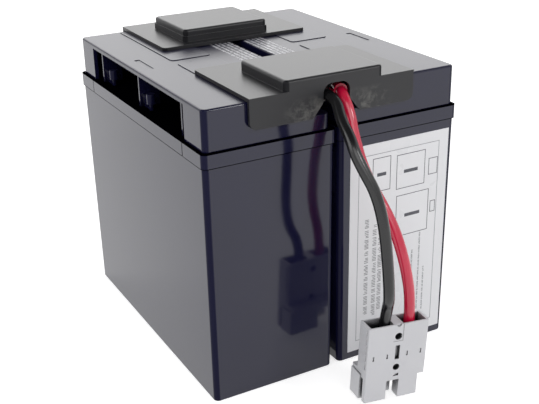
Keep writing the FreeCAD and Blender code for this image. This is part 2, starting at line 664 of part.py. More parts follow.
def make_plate_groups(label, thick, count, offset, even_side, bridges):
    """Plates of one polarity with tabs, straps and bridges to the next cell, one solid in each cell."""
    body = new_body(label)
    cell_start = f"(-{CELL_SPAN} / 2)"
    for parity in (0, 1):
        side = even_side if parity == 0 else {"-": "+", "+": "-"}[even_side]
        tab = f"({LEFT_MIDDLE} {side} {TAB_SIDE})"
        start = f"({cell_start} + {parity} * {CELL_PITCH} + {offset})"
        plate = new_sketch(body, f"plate_{parity}", "XZ_Plane", f"-{start}")
        left, right = f"{LEFT_MIDDLE} - {PLATE_WIDTH} / 2", f"{LEFT_MIDDLE} + {PLATE_WIDTH} / 2"
        near, far = f"{tab} - tab_width / 2", f"{tab} + tab_width / 2"
        add_polygon(plate, (
            (left, "case_floor"), (right, "case_floor"), (right, PLATE_TOP), (far, PLATE_TOP),
            (far, STRAP_LOW), (near, STRAP_LOW), (near, PLATE_TOP), (left, PLATE_TOP)))
        plates = pad(body, plate, thick, reverse=True)
        grid_of(body, [plates], f"plates_{parity}",
                (("Y_Axis", PLATE_PITCH, count), ("Y_Axis", f"2 * {CELL_PITCH}", CELLS // 2)))
        length = f"({count - 1} * {PLATE_PITCH} + {thick})"
        strap = block(body, f"strap_{parity}", f"{tab} - strap_width / 2", start,
                      f"{tab} + strap_width / 2", f"{start} + {length}", STRAP_LOW, "strap_height")
        row_of(body, [strap], f"straps_{parity}", "Y_Axis", f"2 * {CELL_PITCH}", CELLS // 2)
        if bridges:
            bar = new_sketch(body, f"bridge_{parity}", "XZ_Plane", f"-({start} + {length})")
            add_square(bar, tab, BRIDGE_HEIGHT, "bridge_size")
            bridge = pad(body, bar, f"{CELL_PITCH} - {offset} - {length}", reverse=True)
            row_of(body, [bridge], f"bridges_{parity}", "Y_Axis", f"2 * {CELL_PITCH}",
                   (CELLS - parity) // 2)
    return body


def make_separators():
    """Glass-mat sheets between the plates."""
    body = new_body("left_separators")
    start = f"(-{CELL_SPAN} / 2 + negative_thick)"
    sheet = block(body, "sheet", f"{LEFT_MIDDLE} - {CELL_WIDTH} / 2", start,
                  f"{LEFT_MIDDLE} + {CELL_WIDTH} / 2", f"{start} + {SEPARATOR_THICK}",
                  "case_floor", "plate_height + tab_height / 2")
    grid_of(body, [sheet], "sheets",
            (("Y_Axis", f"(positive_thick + {SEPARATOR_THICK})", 2), ("Y_Axis", PLATE_PITCH, POSITIVES),
             ("Y_Axis", CELL_PITCH, CELLS)))
    return body


# ---------------------------------------------------------------------------- shared pieces

def make_cover(label, plate, rise, sign, arch=False, ledge=False):
    """End cover: plate, hollow raised block and a skirt over the terminal corners."""
    body = new_body(label)
    plate_left, plate_right, plate_edge = plate
    block_left, block_right, block_near, block_far, height = rise

    def span(near, far):
        """Return two lengthwise places in rising order."""
        return (f"-({far})", f"-({near})") if sign < 0 else (near, far)

    low, high = span(plate_edge, COVER_REACH)
    block(body, "plate", f"-{plate_left}", low, plate_right, high, PLATE_LOW, "cover_thick")
    low, high = span(f"{COVER_REACH} - cover_thick", COVER_REACH)
    block(body, "skirt", f"-{plate_left}", low, plate_right, high, SKIRT_LOW, "skirt_height")
    round_edges(body, "corners", "cover_corner", lambda edge: upright(edge)
                and edge.BoundBox.ZMin > size("lid_top"))
    ends = (-size(plate_left), size(plate_right))
    lowest = size("lid_top") + size("vent_raise") - size("skirt_height")
    round_edges(body, "skirt_corners", "skirt_corner", lambda edge: abs(edge.BoundBox.ZMax - lowest) < NEAR
                and edge.BoundBox.XLength < NEAR
                and min(abs(edge.BoundBox.XMin - end) for end in ends) < NEAR)

    top = f"({PLATE_LOW} + cover_thick + {height})"
    low, high = span(block_near, block_far)
    base = f"({PLATE_LOW} + cover_thick / 2)"
    if ledge:
        block(body, "ledge", f"-{block_left} - ledge_step", f"{low} - ledge_step",
              f"{block_right} + ledge_step", f"{high} + ledge_step",
              base, "ledge_height + cover_thick / 2")
    block(body, "block", f"-{block_left}", low, block_right, high, base, f"{top} - {base}")
    plate_top = size("lid_top") + size("vent_raise") + size("cover_thick")
    round_edges(body, "block_corners", "cover_corner", lambda edge: upright(edge)
                and edge.BoundBox.ZMin > plate_top - NEAR)
    crown = plate_top + size(height)
    round_edges(body, "block_edge", "block_edge", level_at(crown))

    inner_low, inner_high = span(f"{block_near} + cover_thick",
                                 f"{COVER_REACH} - cover_thick" if arch else f"{block_far} - cover_thick")
    hollow = new_sketch(body, "hollow", "XY_Plane", PLATE_LOW)
    add_rectangle(hollow, f"-{block_left} + cover_thick", inner_low,
                  f"{block_right} - cover_thick", inner_high)
    pocket(body, hollow, height, reverse=True)

    if arch:
        outline = new_sketch(body, "arch", "XZ_Plane", COVER_REACH)
        arch_top = f"({top} - arch_drop)"
        flare_top = f"({SKIRT_LOW} + flare_rise)"
        add_polygon(outline, (
            ("-arch_left - arch_flare", SKIRT_LOW), ("arch_right + arch_flare", SKIRT_LOW),
            ("arch_right", flare_top), ("arch_right", arch_top), ("-arch_left", arch_top),
            ("-arch_left", flare_top)))
        pocket(body, outline, "cover_thick")
        crown_level = crown - size("arch_drop")
        round_edges(body, "arch_crown", "arch_corner", lambda edge: edge.BoundBox.YLength > SHORT
                    and edge.BoundBox.XLength < NEAR and level_at(crown_level)(edge))
        flare_level = lowest + size("flare_rise")
        round_edges(body, "arch_knee", "arch_corner", lambda edge: edge.BoundBox.YLength > SHORT
                    and edge.BoundBox.XLength < NEAR and level_at(flare_level)(edge))
    return body


def make_tapes():
    """Two strips of foam tape between the cases, as thick as the space at their upper edge."""
    body = new_body("foam_tapes")
    thick = "(bat_gap + 2 * case_inset + 2 * tan(case_draft) * (collar_low - tape_top))"
    strip = block(body, "strip", f"-{thick} / 2", "-tape_apart / 2 - tape_length / 2", f"{thick} / 2",
                  "-tape_apart / 2 + tape_length / 2", "tape_top - tape_height", "tape_height")
    row_of(body, [strip], "strips", "Y_Axis", "tape_apart", 2)
    return body


def make_fasteners():
    """Bolts, spring washers and flat washers on the four terminals."""
    places = (("X_Axis", f"2 * {TERM_SIDE}", PAIR), ("Y_Axis", f"2 * {TERM_END}", PAIR))
    bolts = new_body("terminal_bolts")
    head = new_sketch(bolts, "head", "XY_Plane", BOLT_SEAT)
    add_polygon(head, [(f"-{TERM_SIDE} + head_flats / sqrt(3) * cos({60 * i})",
                        f"-{TERM_END} + head_flats / sqrt(3) * sin({60 * i})") for i in range(6)])
    hexagon = pad(bolts, head, "head_thick")
    shank = new_sketch(bolts, "shank", "XY_Plane", BOLT_SEAT)
    add_circle(shank, f"-{TERM_SIDE}", f"-{TERM_END}", "bolt_size")
    stem = pad(bolts, shank, "bolt_length", reverse=True)
    grid_of(bolts, [hexagon, stem], "four", places)

    springs = new_body("spring_washers")
    ring = new_sketch(springs, "ring", "XY_Plane", f"{BOLT_SEAT} - spring_thick")
    for width in ("spring_size", "washer_hole"):
        add_circle(ring, f"-{TERM_SIDE}", f"-{TERM_END}", width)
    turn = pad(springs, ring, "spring_thick")
    split = cut_block(springs, "split", f"-{TERM_SIDE}", f"-{TERM_END} - spring_split / 2",
                      f"-{TERM_SIDE} + spring_size", f"-{TERM_END} + spring_split / 2",
                      BOLT_SEAT, "spring_thick")
    grid_of(springs, [turn, split], "four", places)

    flats = new_body("flat_washers")
    disc = new_sketch(flats, "disc", "XY_Plane", "term_top + lug_thick")
    for width in ("washer_size", "washer_hole"):
        add_circle(disc, f"-{TERM_SIDE}", f"-{TERM_END}", width)
    grid_of(flats, [pad(flats, disc, "washer_thick")], "four", places)
    return [bolts, springs, flats]


def make_lug(label, side, turn):
    """Crimped cable lug: palm with a bolt hole, neck and barrel, turned toward the cable arch."""
    body = new_body(label)
    palm = new_sketch(body, "palm", "XY_Plane")
    add_circle(palm, "0", "0", "lug_width")
    pad(body, palm, "lug_thick")
    block(body, "neck", "-barrel_size / 2", "-lug_neck - lug_barrel / 2", "barrel_size / 2", "0",
          "0", "lug_thick")
    barrel = new_sketch(body, "barrel", "XZ_Plane", "lug_neck")
    add_circle(barrel, "0", "barrel_size / 2", "barrel_size")
    pad(body, barrel, "lug_barrel")
    bore = new_sketch(body, "bore", "XZ_Plane", "lug_neck + lug_barrel")
    add_circle(bore, "0", "barrel_size / 2", "barrel_bore")
    pocket(body, bore, "lug_barrel - barrel_stop")
    hole = new_sketch(body, "hole", "XY_Plane", "lug_thick")
    add_circle(hole, "0", "0", "washer_hole")
    pocket(body, hole, "lug_thick")
    body.setExpression(".Placement.Rotation.Angle", bound(turn))
    body.setExpression(".Placement.Base.x", bound(f"{side}{TERM_SIDE}"))
    body.setExpression(".Placement.Base.y", bound(f"-{TERM_END}"))
    body.setExpression(".Placement.Base.z", bound("term_top"))
    return body


def make_link():
    """Flat copper link that joins the two blocks in series under the rear cover."""
    body = new_body("series_link")
    block(body, "bar", f"-{TERM_SIDE} - link_width / 2", f"{TERM_END} - link_width / 2",
          f"{TERM_SIDE} + link_width / 2", f"{TERM_END} + link_width / 2", "term_top", "lug_thick")
    round_edges(body, "corners", "link_width / 4", upright)
    holes = new_sketch(body, "holes", "XY_Plane", "term_top + lug_thick")
    for side in ("-", ""):
        add_circle(holes, f"{side}{TERM_SIDE}", TERM_END, "washer_hole")
    pocket(body, holes, "lug_thick")
    return body


def make_face_label():
    """Printed film on the front face of the right block, leaning with the case's draft."""
    film = DOC.addObject("Part::Box", "face_label")
    film.Label = "face_label"
    film.setExpression("Length", bound("label_width"))
    film.setExpression("Width", bound("label_thick"))
    film.setExpression("Height", bound("label_height"))
    film.setExpression(".Placement.Rotation.Axis.x", "1")
    film.setExpression(".Placement.Rotation.Axis.z", "0")
    film.setExpression(".Placement.Rotation.Angle", bound("case_draft"))
    film.setExpression(".Placement.Base.x", bound("label_left"))
    face = f"(-{HALF} + case_inset + tan(case_draft) * (collar_low - label_low))"
    film.setExpression(".Placement.Base.y", bound(f"{face} - label_thick / cos(case_draft)"))
    film.setExpression(".Placement.Base.z", bound("label_low"))
    return film


def place_on_plug(body):
    """Hang a connector piece at the connector's place, turned and leaning to one side."""
    turn = Rotation(Vector(0, 0, 1), -size("plug_turn"))
    lean = Rotation(Vector(0, 1, 0), size("plug_lean"))
    body.Placement.Rotation = turn.multiply(lean)
    body.setExpression(".Placement.Base.x", bound("plug_x"))
    body.setExpression(".Placement.Base.y", bound("-plug_y"))
    body.setExpression(".Placement.Base.z", bound("plug_lift + tongue_right * sin(plug_lean)"))
    return body


def make_plug_housing():
    """Genderless housing: hood and tongue at the mating end, two cable bays at the other."""
    body = new_body("connector_housing")
    half = "(plug_width / 2)"
    front, back = "(-plug_thick / 2)", "(plug_thick / 2)"
    block(body, "upper", f"-{half}", front, half, back, "shoulder_top", "plug_length - shoulder_top")
    block(body, "tongue", "slot_right", front, "tongue_right", f"{front} + tongue_thick",
          "0", "shoulder_top")
    block(body, "hood", f"-{half}", front, "-slot_left", back, "0", "shoulder_top")
    block(body, "hood_side", f"-{half} - hood_step", f"{front} + slit_front + slit_width", f"-{half}",
          f"{back} - plug_edge", "0", "hood_top")
    block(body, "web", "-slot_left", f"{front} + web_front", "web_right", back, "0", "shoulder_top")
    block(body, "bridge", "-slot_left", front, "slot_right", f"{front} + web_front", "slot_top",
          "shoulder_top - slot_top")
    round_edges(body, "long_edges", "plug_edge", lambda edge: upright(edge)
                and abs(abs(edge.BoundBox.XMin) - size("plug_width") / 2) < NEAR
                and abs(abs(edge.BoundBox.YMin) - size("plug_thick") / 2) < NEAR
                and edge.BoundBox.ZLength > size("shoulder_top") - 1)

    ribs = new_sketch(body, "ribs", "XZ_Plane", "-grip_width / 2")
    for side in ("-", ""):
        for i in range(GRIPS):
            foot = f"grip_low + {i} * grip_pitch"
            add_polygon(ribs, (
                (f"{side}({half} - plug_edge)", foot), (f"{side}({half} + grip_proud)", foot),
                (f"{side}{half}", f"{foot} + grip_high"),
                (f"{side}({half} - plug_edge)", f"{foot} + grip_high")))
    pad(body, ribs, "grip_width")
    for name, side in (("left", "-"), ("right", "")):
        middle = f"({side}bay_side)"
        cut_block(body, f"{name}_bay", f"{middle} - bay_width / 2", "-bay_depth / 2",
                  f"{middle} + bay_width / 2", "bay_depth / 2", "plug_length", "plug_length - bay_floor")
    cut_block(body, "left_duct", "-pole_side - duct_width / 2", "-duct_depth / 2",
              "-pole_side + duct_width / 2", "duct_depth / 2", "bay_floor", "bay_floor")
    cut_block(body, "right_duct", "pole_side - duct_width / 2", f"{front} + tongue_thick",
              "pole_side + duct_width / 2", "duct_depth / 2", "bay_floor", "bay_floor")
    slit = new_sketch(body, "slit", "YZ_Plane", f"-{half} - hood_step")
    add_rectangle(slit, f"{front} + slit_front", "0", f"{front} + slit_front + slit_width", "slit_top")
    pocket(body, slit, f"{half} + hood_step - pole_side - duct_width / 2", reverse=True)
    for name, level, width in (("upper_pin", "pin_high", "pin_hole"),
                               ("lower_pin", "pin_low", "pin_hole_low")):
        hole = new_sketch(body, name, "XZ_Plane", "plug_thick / 2")
        add_circle(hole, "0", level, width)
        pocket(body, hole, "plug_thick")
    latches = new_sketch(body, "latches", "XZ_Plane", "plug_thick / 2")
    for side in ("-", ""):
        for place in ("latch_inner", "latch_outer"):
            add_rectangle(latches, f"{side}{place} - latch_width / 2", "latch_level - latch_high / 2",
                          f"{side}{place} + latch_width / 2", "latch_level + latch_high / 2")
    pocket(body, latches, "latch_depth")
    dimple = new_sketch(body, "dimple", "XZ_Plane", "plug_thick / 2")
    foot = "dimple_level - dimple_high / 2"
    add_polygon(dimple, (("-dimple_width / 2", foot), ("dimple_width / 2", foot),
                         ("dimple_width / 2", f"{foot} + dimple_high"),
                         ("0", f"{foot} + dimple_high")))
    pocket(body, dimple, "latch_depth")
    key = new_sketch(body, "key", "XZ_Plane", "plug_thick / 2")
    add_rectangle(key, "-key_width / 2", "key_low", "key_width / 2", "key_high")
    pocket(body, key, "key_depth")
    crest = new_sketch(body, "crest", "XZ_Plane", "plug_thick / 2")
    add_circle(crest, "0", "plug_length", "crest_size")
    pocket(body, crest, "key_depth / 2")
    seam = new_sketch(body, "seam", "XZ_Plane", "plug_thick / 2")
    add_polygon(seam, (
        ("-seam_side", "seam_low"), ("seam_side", "seam_low"), ("seam_side", "plug_length"),
        ("seam_side - seam_width", "plug_length"), ("seam_side - seam_width", "seam_low + seam_width"),
        ("-seam_side", "seam_low + seam_width")))
    pocket(body, seam, "seam_depth")
    return place_on_plug(body)


def make_contact(label, side):
    """Silvered contact: flat blade at the mating end, crimp barrel for the lead."""
    body = new_body(label)
    middle = f"({side}pole_side)"
    block(body, "blade", f"{middle} - blade_width / 2", "-blade_thick / 2", f"{middle} + blade_width / 2",
          "blade_thick / 2", "blade_low", "crimp_low - blade_low")
    barrel = new_sketch(body, "barrel", "XY_Plane", "crimp_low")
    add_circle(barrel, middle, "0", "crimp_size")
    pad(body, barrel, "crimp_high - crimp_low")
    bore = new_sketch(body, "bore", "XY_Plane", "crimp_high")
    add_circle(bore, middle, "0", "crimp_bore")
    pocket(body, bore, "crimp_high - crimp_low - crimp_stop")
    return place_on_plug(body)


def make_springs():
    """Two leaf springs that press the blades forward."""
    body = new_body("contact_springs")
    sketch = new_sketch(body, "leaves", "XY_Plane", "blade_low + blade_thick")
    for side in ("-", ""):
        middle = f"({side}pole_side)"
        add_rectangle(sketch, f"{middle} - leaf_width / 2", "blade_thick / 2", f"{middle} + leaf_width / 2",
                      "blade_thick / 2 + leaf_thick")
    pad(body, sketch, "bay_floor - blade_low - blade_thick")
    return place_on_plug(body)


def make_lead(label, route):
    """Round lead along straight runs joined by tangent arcs as large as the runs allow."""
    points = [Vector(*place) for place in route]
    runs = [(b - a).Length for a, b in zip(points, points[1:])]
    edges = []
    start = points[0]
    for i in range(1, len(points) - 1):
        before = (points[i] - points[i - 1]).normalize()
        after = (points[i + 1] - points[i]).normalize()
        turn = before.getAngle(after)
        reach = BEND_SHARE * min(runs[i - 1], runs[i])
        enter = points[i] - before * reach
        leave = points[i] + after * reach
        inward = (after - before).normalize()
        radius = reach / math.tan(turn / 2)
        crest = points[i] + inward * (radius / math.cos(turn / 2) - radius)
        print(f"{label}: point {i} turns {math.degrees(turn):.0f} degrees, radius {radius:.0f} mm")
        edges.append(Part.LineSegment(start, enter).toShape())
        edges.append(Part.Arc(enter, crest, leave).toShape())
        start = leave
    edges.append(Part.LineSegment(start, points[-1]).toShape())
    path = Part.Wire(edges)
    radius = size("lead_size") / 2
    section = Part.Wire([Part.Circle(points[0], points[1] - points[0], radius).toShape()])
    tube = path.makePipeShell([section], True, False)
    expected = math.pi * radius ** 2 * path.Length
    if abs(tube.Volume / expected - 1) > VOLUME_TOLERANCE:
        raise RuntimeError(f"{label} doesn't fill its path")
    print(f"{label}: {path.Length:.0f} mm long, runs {[round(run) for run in runs]}")
    lead = DOC.addObject("Part::Feature", label)
    lead.Label = label
    lead.Shape = tube
    return lead


# ---------------------------------------------------------------------------- the product

def make_block_pieces():
    """Return the pieces of the left block."""
    front = (f"(-{LID_END} + vent_margin)", "(-vent_land / 2)")
    rear = ("(vent_land / 2)", f"({LID_END} - vent_margin)")
    return [
        make_container(),
        make_lid(),
        make_vent_plate("left_front_vent_plate", *front),
        make_vent_plate("left_rear_vent_plate", *rear),
        make_vent_caps(),
        make_terminals(),
        make_terminal_seals(),
        make_plate_groups("left_positive_groups", "positive_thick", POSITIVES,
                          f"(negative_thick + {SEPARATOR_THICK})", "-", True),
        make_plate_groups("left_negative_groups", "negative_thick", NEGATIVES, "0", "+", False),
        make_separators(),
    ]


def make_product():
    """Return every piece of the cartridge."""
    left = make_block_pieces()
    right = [half_turn(piece.Label.replace("left_", "right_"), piece) for piece in left]
    front = make_cover(
        "front_cover", ("front_left", "front_right", "front_back"),
        ("block_left", "block_right", "block_back", COVER_REACH, "block_rise"), -1, arch=True)
    rear = make_cover(
        "rear_cover", ("rear_left", "rear_right", "rear_front"),
        ("rise_left", "rise_right", "rise_front", f"({COVER_REACH} - rise_inset)", "rise_height"), 1,
        ledge=True)
    shared = [
        front,
        rear,
        make_tapes(),
        *make_fasteners(),
        make_lug("black_lug", "-", "black_lug_turn"),
        make_lug("red_lug", "", "-red_lug_turn"),
        make_link(),
        make_lead("black_lead", BLACK_ROUTE),
        make_lead("red_lead", RED_ROUTE),
        make_face_label(),
        make_plug_housing(),
        make_contact("black_contact", "-"),
        make_contact("red_contact", ""),
        make_springs(),
    ]
    return left + right + shared


def check(pieces):
    """Stop if any object failed or any piece isn't a valid solid."""
    DOC.recompute()
    for item in DOC.Objects:
        if {"Invalid", "Error"} & set(item.State):
            raise RuntimeError(f"{item.Name} failed: {item.State}")
    for piece in pieces:
        if piece.Shape.isNull() or not piece.Shape.isValid() or not piece.Shape.Solids:
            raise RuntimeError(f"{piece.Label} isn't a valid solid")


PIECES = make_product()
check(PIECES)
os.makedirs("parts", exist_ok=True)
for piece in PIECES:
    piece.Shape.exportStep(f"parts/{piece.Label}.step")
    print(f"{piece.Label}: {len(piece.Shape.Solids)} solids, {piece.Shape.Volume:.0f} mm3")
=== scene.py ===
"""A battery cartridge: two sealed batteries joined by terminal covers, dressed for rendering."""

import json
import logging
import math
import random
from dataclasses import dataclass, field
from enum import Enum

import bmesh
import bpy
from mathutils import Matrix, Quaternion, Vector


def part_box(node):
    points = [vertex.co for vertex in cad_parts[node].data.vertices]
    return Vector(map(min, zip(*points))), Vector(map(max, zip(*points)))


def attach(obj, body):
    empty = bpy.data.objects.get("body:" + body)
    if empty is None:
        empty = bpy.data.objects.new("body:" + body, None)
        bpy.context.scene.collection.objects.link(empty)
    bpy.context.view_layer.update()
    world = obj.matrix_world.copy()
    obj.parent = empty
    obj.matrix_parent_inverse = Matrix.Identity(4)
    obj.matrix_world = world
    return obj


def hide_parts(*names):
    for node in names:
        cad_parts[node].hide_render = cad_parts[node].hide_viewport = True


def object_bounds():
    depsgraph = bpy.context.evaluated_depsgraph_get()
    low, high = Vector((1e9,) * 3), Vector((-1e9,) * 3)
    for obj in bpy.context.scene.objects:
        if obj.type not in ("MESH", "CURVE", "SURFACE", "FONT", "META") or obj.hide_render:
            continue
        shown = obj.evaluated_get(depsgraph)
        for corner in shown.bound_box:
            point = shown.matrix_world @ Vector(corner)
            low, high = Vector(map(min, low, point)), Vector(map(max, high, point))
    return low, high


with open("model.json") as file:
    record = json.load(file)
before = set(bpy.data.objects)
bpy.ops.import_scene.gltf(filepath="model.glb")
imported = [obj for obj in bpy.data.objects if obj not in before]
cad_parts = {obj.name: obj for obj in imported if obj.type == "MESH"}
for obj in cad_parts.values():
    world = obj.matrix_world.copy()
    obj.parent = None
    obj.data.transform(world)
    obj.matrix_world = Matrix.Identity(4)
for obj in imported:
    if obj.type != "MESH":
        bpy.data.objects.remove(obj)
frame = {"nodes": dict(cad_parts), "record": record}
CAD_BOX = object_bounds()

LOG = logging.getLogger("cartridge")
BODY = "root"
MM = 0.001

Number = int | float
Point = tuple[Number, ...]
Setting = Number | Point | bpy.types.NodeSocket


class Side(Enum):
    """The two batteries of the pair, by the name their nodes start with."""

    LEFT = "left"
    RIGHT = "right"


class Ink(Enum):
    """What the printed marks are made with."""

    LABEL_TEXT = "#4c4d54"
    LABEL_RULE = "#8d8e94"
    LID_TEXT = "#e4e4e8"


def colour(code: str) -> tuple[float, float, float, float]:
    """Turns an sRGB hex value into the linear colour that shaders take.

    Args:
        code: The colour, as #rrggbb.

    Returns:
        Red, green, blue and alpha, from 0 to 1.
    """
    parts = [int(code[place:place + 2], 16) / 255 for place in (1, 3, 5)]
    linear = [part / 12.92 if part <= 0.04045 else ((part + 0.055) / 1.055) ** 2.4
              for part in parts]
    return (*linear, 1.0)


def add_node(tree: bpy.types.NodeTree, kind: str, inputs: dict[str | int, Setting] | None = None,
             **settings: str | bool | Number) -> bpy.types.Node:
    """Adds a shader node with its settings, values and links.

    Args:
        tree: The node tree that gets it.
        kind: The node's type, without the leading ShaderNode.
        inputs: A value or a socket for each input that isn't left as it is.
        settings: The node's own options.

    Returns:
        The new node.
    """
    node = tree.nodes.new("ShaderNode" + kind)
    for name, value in settings.items():
        setattr(node, name, value)
    for key, value in (inputs or {}).items():
        if isinstance(value, bpy.types.NodeSocket):
            tree.links.new(value, node.inputs[key])
        else:
            node.inputs[key].default_value = value
    return node


def blank_material(name: str) -> tuple[bpy.types.Material, bpy.types.NodeTree]:
    """Makes a material with an empty node tree.

    Args:
        name: The material's name.

    Returns:
        The material and its tree.
    """
    material = bpy.data.materials.new(name)
    material.use_nodes = True
    material.node_tree.nodes.clear()
    return material, material.node_tree


@dataclass(frozen=True)
class Smudge:
    """Where handling leaves its pale smudges on the front cover, and how strong they are."""

    top: tuple[float, float] = (159 * MM, 166 * MM)
    aside: tuple[float, float] = (21 * MM, 34 * MM)
    front: tuple[float, float] = (-90.5 * MM, -91.4 * MM)
    patch: float = 5 * MM
    share: float = 0.6


SMUDGE = Smudge()


@dataclass(frozen=True)
class Moulding:
    """A moulded plastic, drawn or cast surface: colour drift, grain, bump, pale edges of wear and painted
    highlight, and painted shade in pits and on upright corners.
    """

    name: str
    hue: str
    drift_hue: str
    rough: float
    rough_spread: float = 0.05
    ior: float = 1.5
    grain_mm: float = 1.2
    bump_mm: float = 0.01
    drift_mm: float = 40.0
    # Colour of the pale edge line: part rubbing wear, part painted highlight.
    worn_and_highlit_edge_hue: str | None = None
    edge_mm: float = 0.5
    coat: float = 0.0
    metallic: float = 0.0
    top_rough: float | None = None
    dust_hue: str | None = None
    # Specular level on the upright corners, lowered as painted shade.
    corner_shade_specular: float | None = None
    # Colour of the painted shade in holes, slots and gaps, found by ambient occlusion.
    pit_shade_hue: str | None = None
    pit_shade_mm: float = 5.0
    pit_shade_range: tuple[float, float] = (0.62, 0.2)
    joints: tuple[float, ...] = ()
    joint_hue: str = "#020204"
    joint_half: float = 0.35 * MM

    def make(self) -> bpy.types.Material:
        """Builds the material.

        Returns:
            The finished material.
        """
        material, tree = blank_material(self.name)
        place = add_node(tree, "TexCoord").outputs["Object"]
        drift = add_node(tree, "TexNoise", {"Vector": place, "Scale": 1 / (self.drift_mm * MM),
                                            "Detail": 3.0, "Roughness": 0.55}).outputs["Fac"]
        grain = add_node(tree, "TexNoise", {"Vector": place, "Scale": 1 / (self.grain_mm * MM),
                                            "Detail": 2.0, "Roughness": 0.5}).outputs["Fac"]
        tint = add_node(tree, "Mix", {0: drift, 6: colour(self.hue), 7: colour(self.drift_hue)},
                        data_type="RGBA").outputs[2]
        if self.dust_hue:
            tint = self.add_dust(tree, place, tint)
        # Pale edge line: part wear, part painted highlight.
        if self.worn_and_highlit_edge_hue:
            tint = self.add_worn_and_highlit_edges(tree, drift, tint)
        # Painted shade: darker colour in holes, slots and gaps.
        if self.pit_shade_hue:
            tint = self.add_painted_pit_shade(tree, tint)
        if self.joints:
            joint = self.joint_share(tree, place)
            tint = add_node(tree, "Mix", {0: joint, 6: tint, 7: colour(self.joint_hue)},
                            data_type="RGBA").outputs[2]
        rough = add_node(tree, "MapRange", {"Value": drift, 1: 0.3, 2: 0.7,
                                            3: self.rough - self.rough_spread,
                                            4: self.rough + self.rough_spread}).outputs[0]
        if self.top_rough is not None:
            rough = self.add_satin_top(tree, rough)
        bump = add_node(tree, "Bump", {"Strength": 1.0, "Distance": self.bump_mm * MM,
                                       "Height": grain})
        shader = add_node(tree, "BsdfPrincipled", {
            "Base Color": tint, "Roughness": rough, "Metallic": self.metallic, "IOR": self.ior,
            "Coat Weight": self.coat, "Coat Roughness": 0.08,
            "Normal": bump.outputs["Normal"]})
        if self.worn_and_highlit_edge_hue:
            soft = add_node(tree, "Bevel", {"Radius": self.edge_mm * MM}, samples=4)
            tree.links.new(soft.outputs["Normal"], bump.inputs["Normal"])
        # Painted shade: less reflection on the upright corners.
        if self.corner_shade_specular is not None:
            shine = self.paint_corner_shade(tree)
            if self.joints:
                kept = add_node(tree, "Math", {0: 1.0, 1: joint}, operation="SUBTRACT").outputs[0]
                shine = add_node(tree, "Math", {0: shine, 1: kept},
                                 operation="MULTIPLY").outputs[0]
            tree.links.new(shine, shader.inputs["Specular IOR Level"])
        add_node(tree, "OutputMaterial", {"Surface": shader.outputs["BSDF"]})
        return material

    def paint_corner_shade(self, tree: bpy.types.NodeTree) -> bpy.types.NodeSocket:
        """Paints shade on the rounded upright corners by lowering their reflection.

        Args:
            tree: The material's tree.

        Returns:
            The specular level, less on the upright corners than on the flat walls.
        """
        facing = add_node(tree, "SeparateXYZ", {0: add_node(tree, "TexCoord").outputs["Normal"]})
        both = add_node(tree, "Math", {0: facing.outputs["X"], 1: facing.outputs["Y"]},
                        operation="MULTIPLY").outputs[0]
        turned = add_node(tree, "Math", {0: both}, operation="ABSOLUTE").outputs[0]
        return add_node(tree, "MapRange", {"Value": turned, 1: 0.04, 2: 0.2, 3: 0.5,
                                           4: self.corner_shade_specular}).outputs[0]

    def joint_share(self, tree: bpy.types.NodeTree,
                    place: bpy.types.NodeSocket) -> bpy.types.NodeSocket:
        """Finds the dark lines where the lid is glued in and where the collar ends.

        Args:
            tree: The material's tree.
            place: The object coordinates.

        Returns:
            1 on a joint line, else 0.
        """
        height = add_node(tree, "SeparateXYZ", {0: place}).outputs["Z"]
        lines = [add_node(tree, "Math", {0: height, 1: level, 2: self.joint_half},
                          operation="COMPARE").outputs[0] for level in self.joints]
        share = lines[0]
        for line in lines[1:]:
            share = add_node(tree, "Math", {0: share, 1: line}, operation="MAXIMUM").outputs[0]
        return share

    def add_painted_pit_shade(self, tree: bpy.types.NodeTree,
                 tint: bpy.types.NodeSocket) -> bpy.types.NodeSocket:
        """Paints shade into deep holes, slots and gaps, darkening the colour where they are enclosed.

        Args:
            tree: The material's tree.
            tint: The colour so far.

        Returns:
            The colour with painted shade in the pits.
        """
        # Painted shade: the less open a point is, the nearer its colour goes to the shade colour.
        open_share = add_node(tree, "AmbientOcclusion", {"Distance": self.pit_shade_mm * MM},
                              samples=8, only_local=True).outputs["AO"]
        shade = add_node(tree, "MapRange", {"Value": open_share, 1: self.pit_shade_range[0],
                                            2: self.pit_shade_range[1]}).outputs[0]
        return add_node(tree, "Mix", {0: shade, 6: tint, 7: colour(self.pit_shade_hue)},
                        data_type="RGBA").outputs[2]

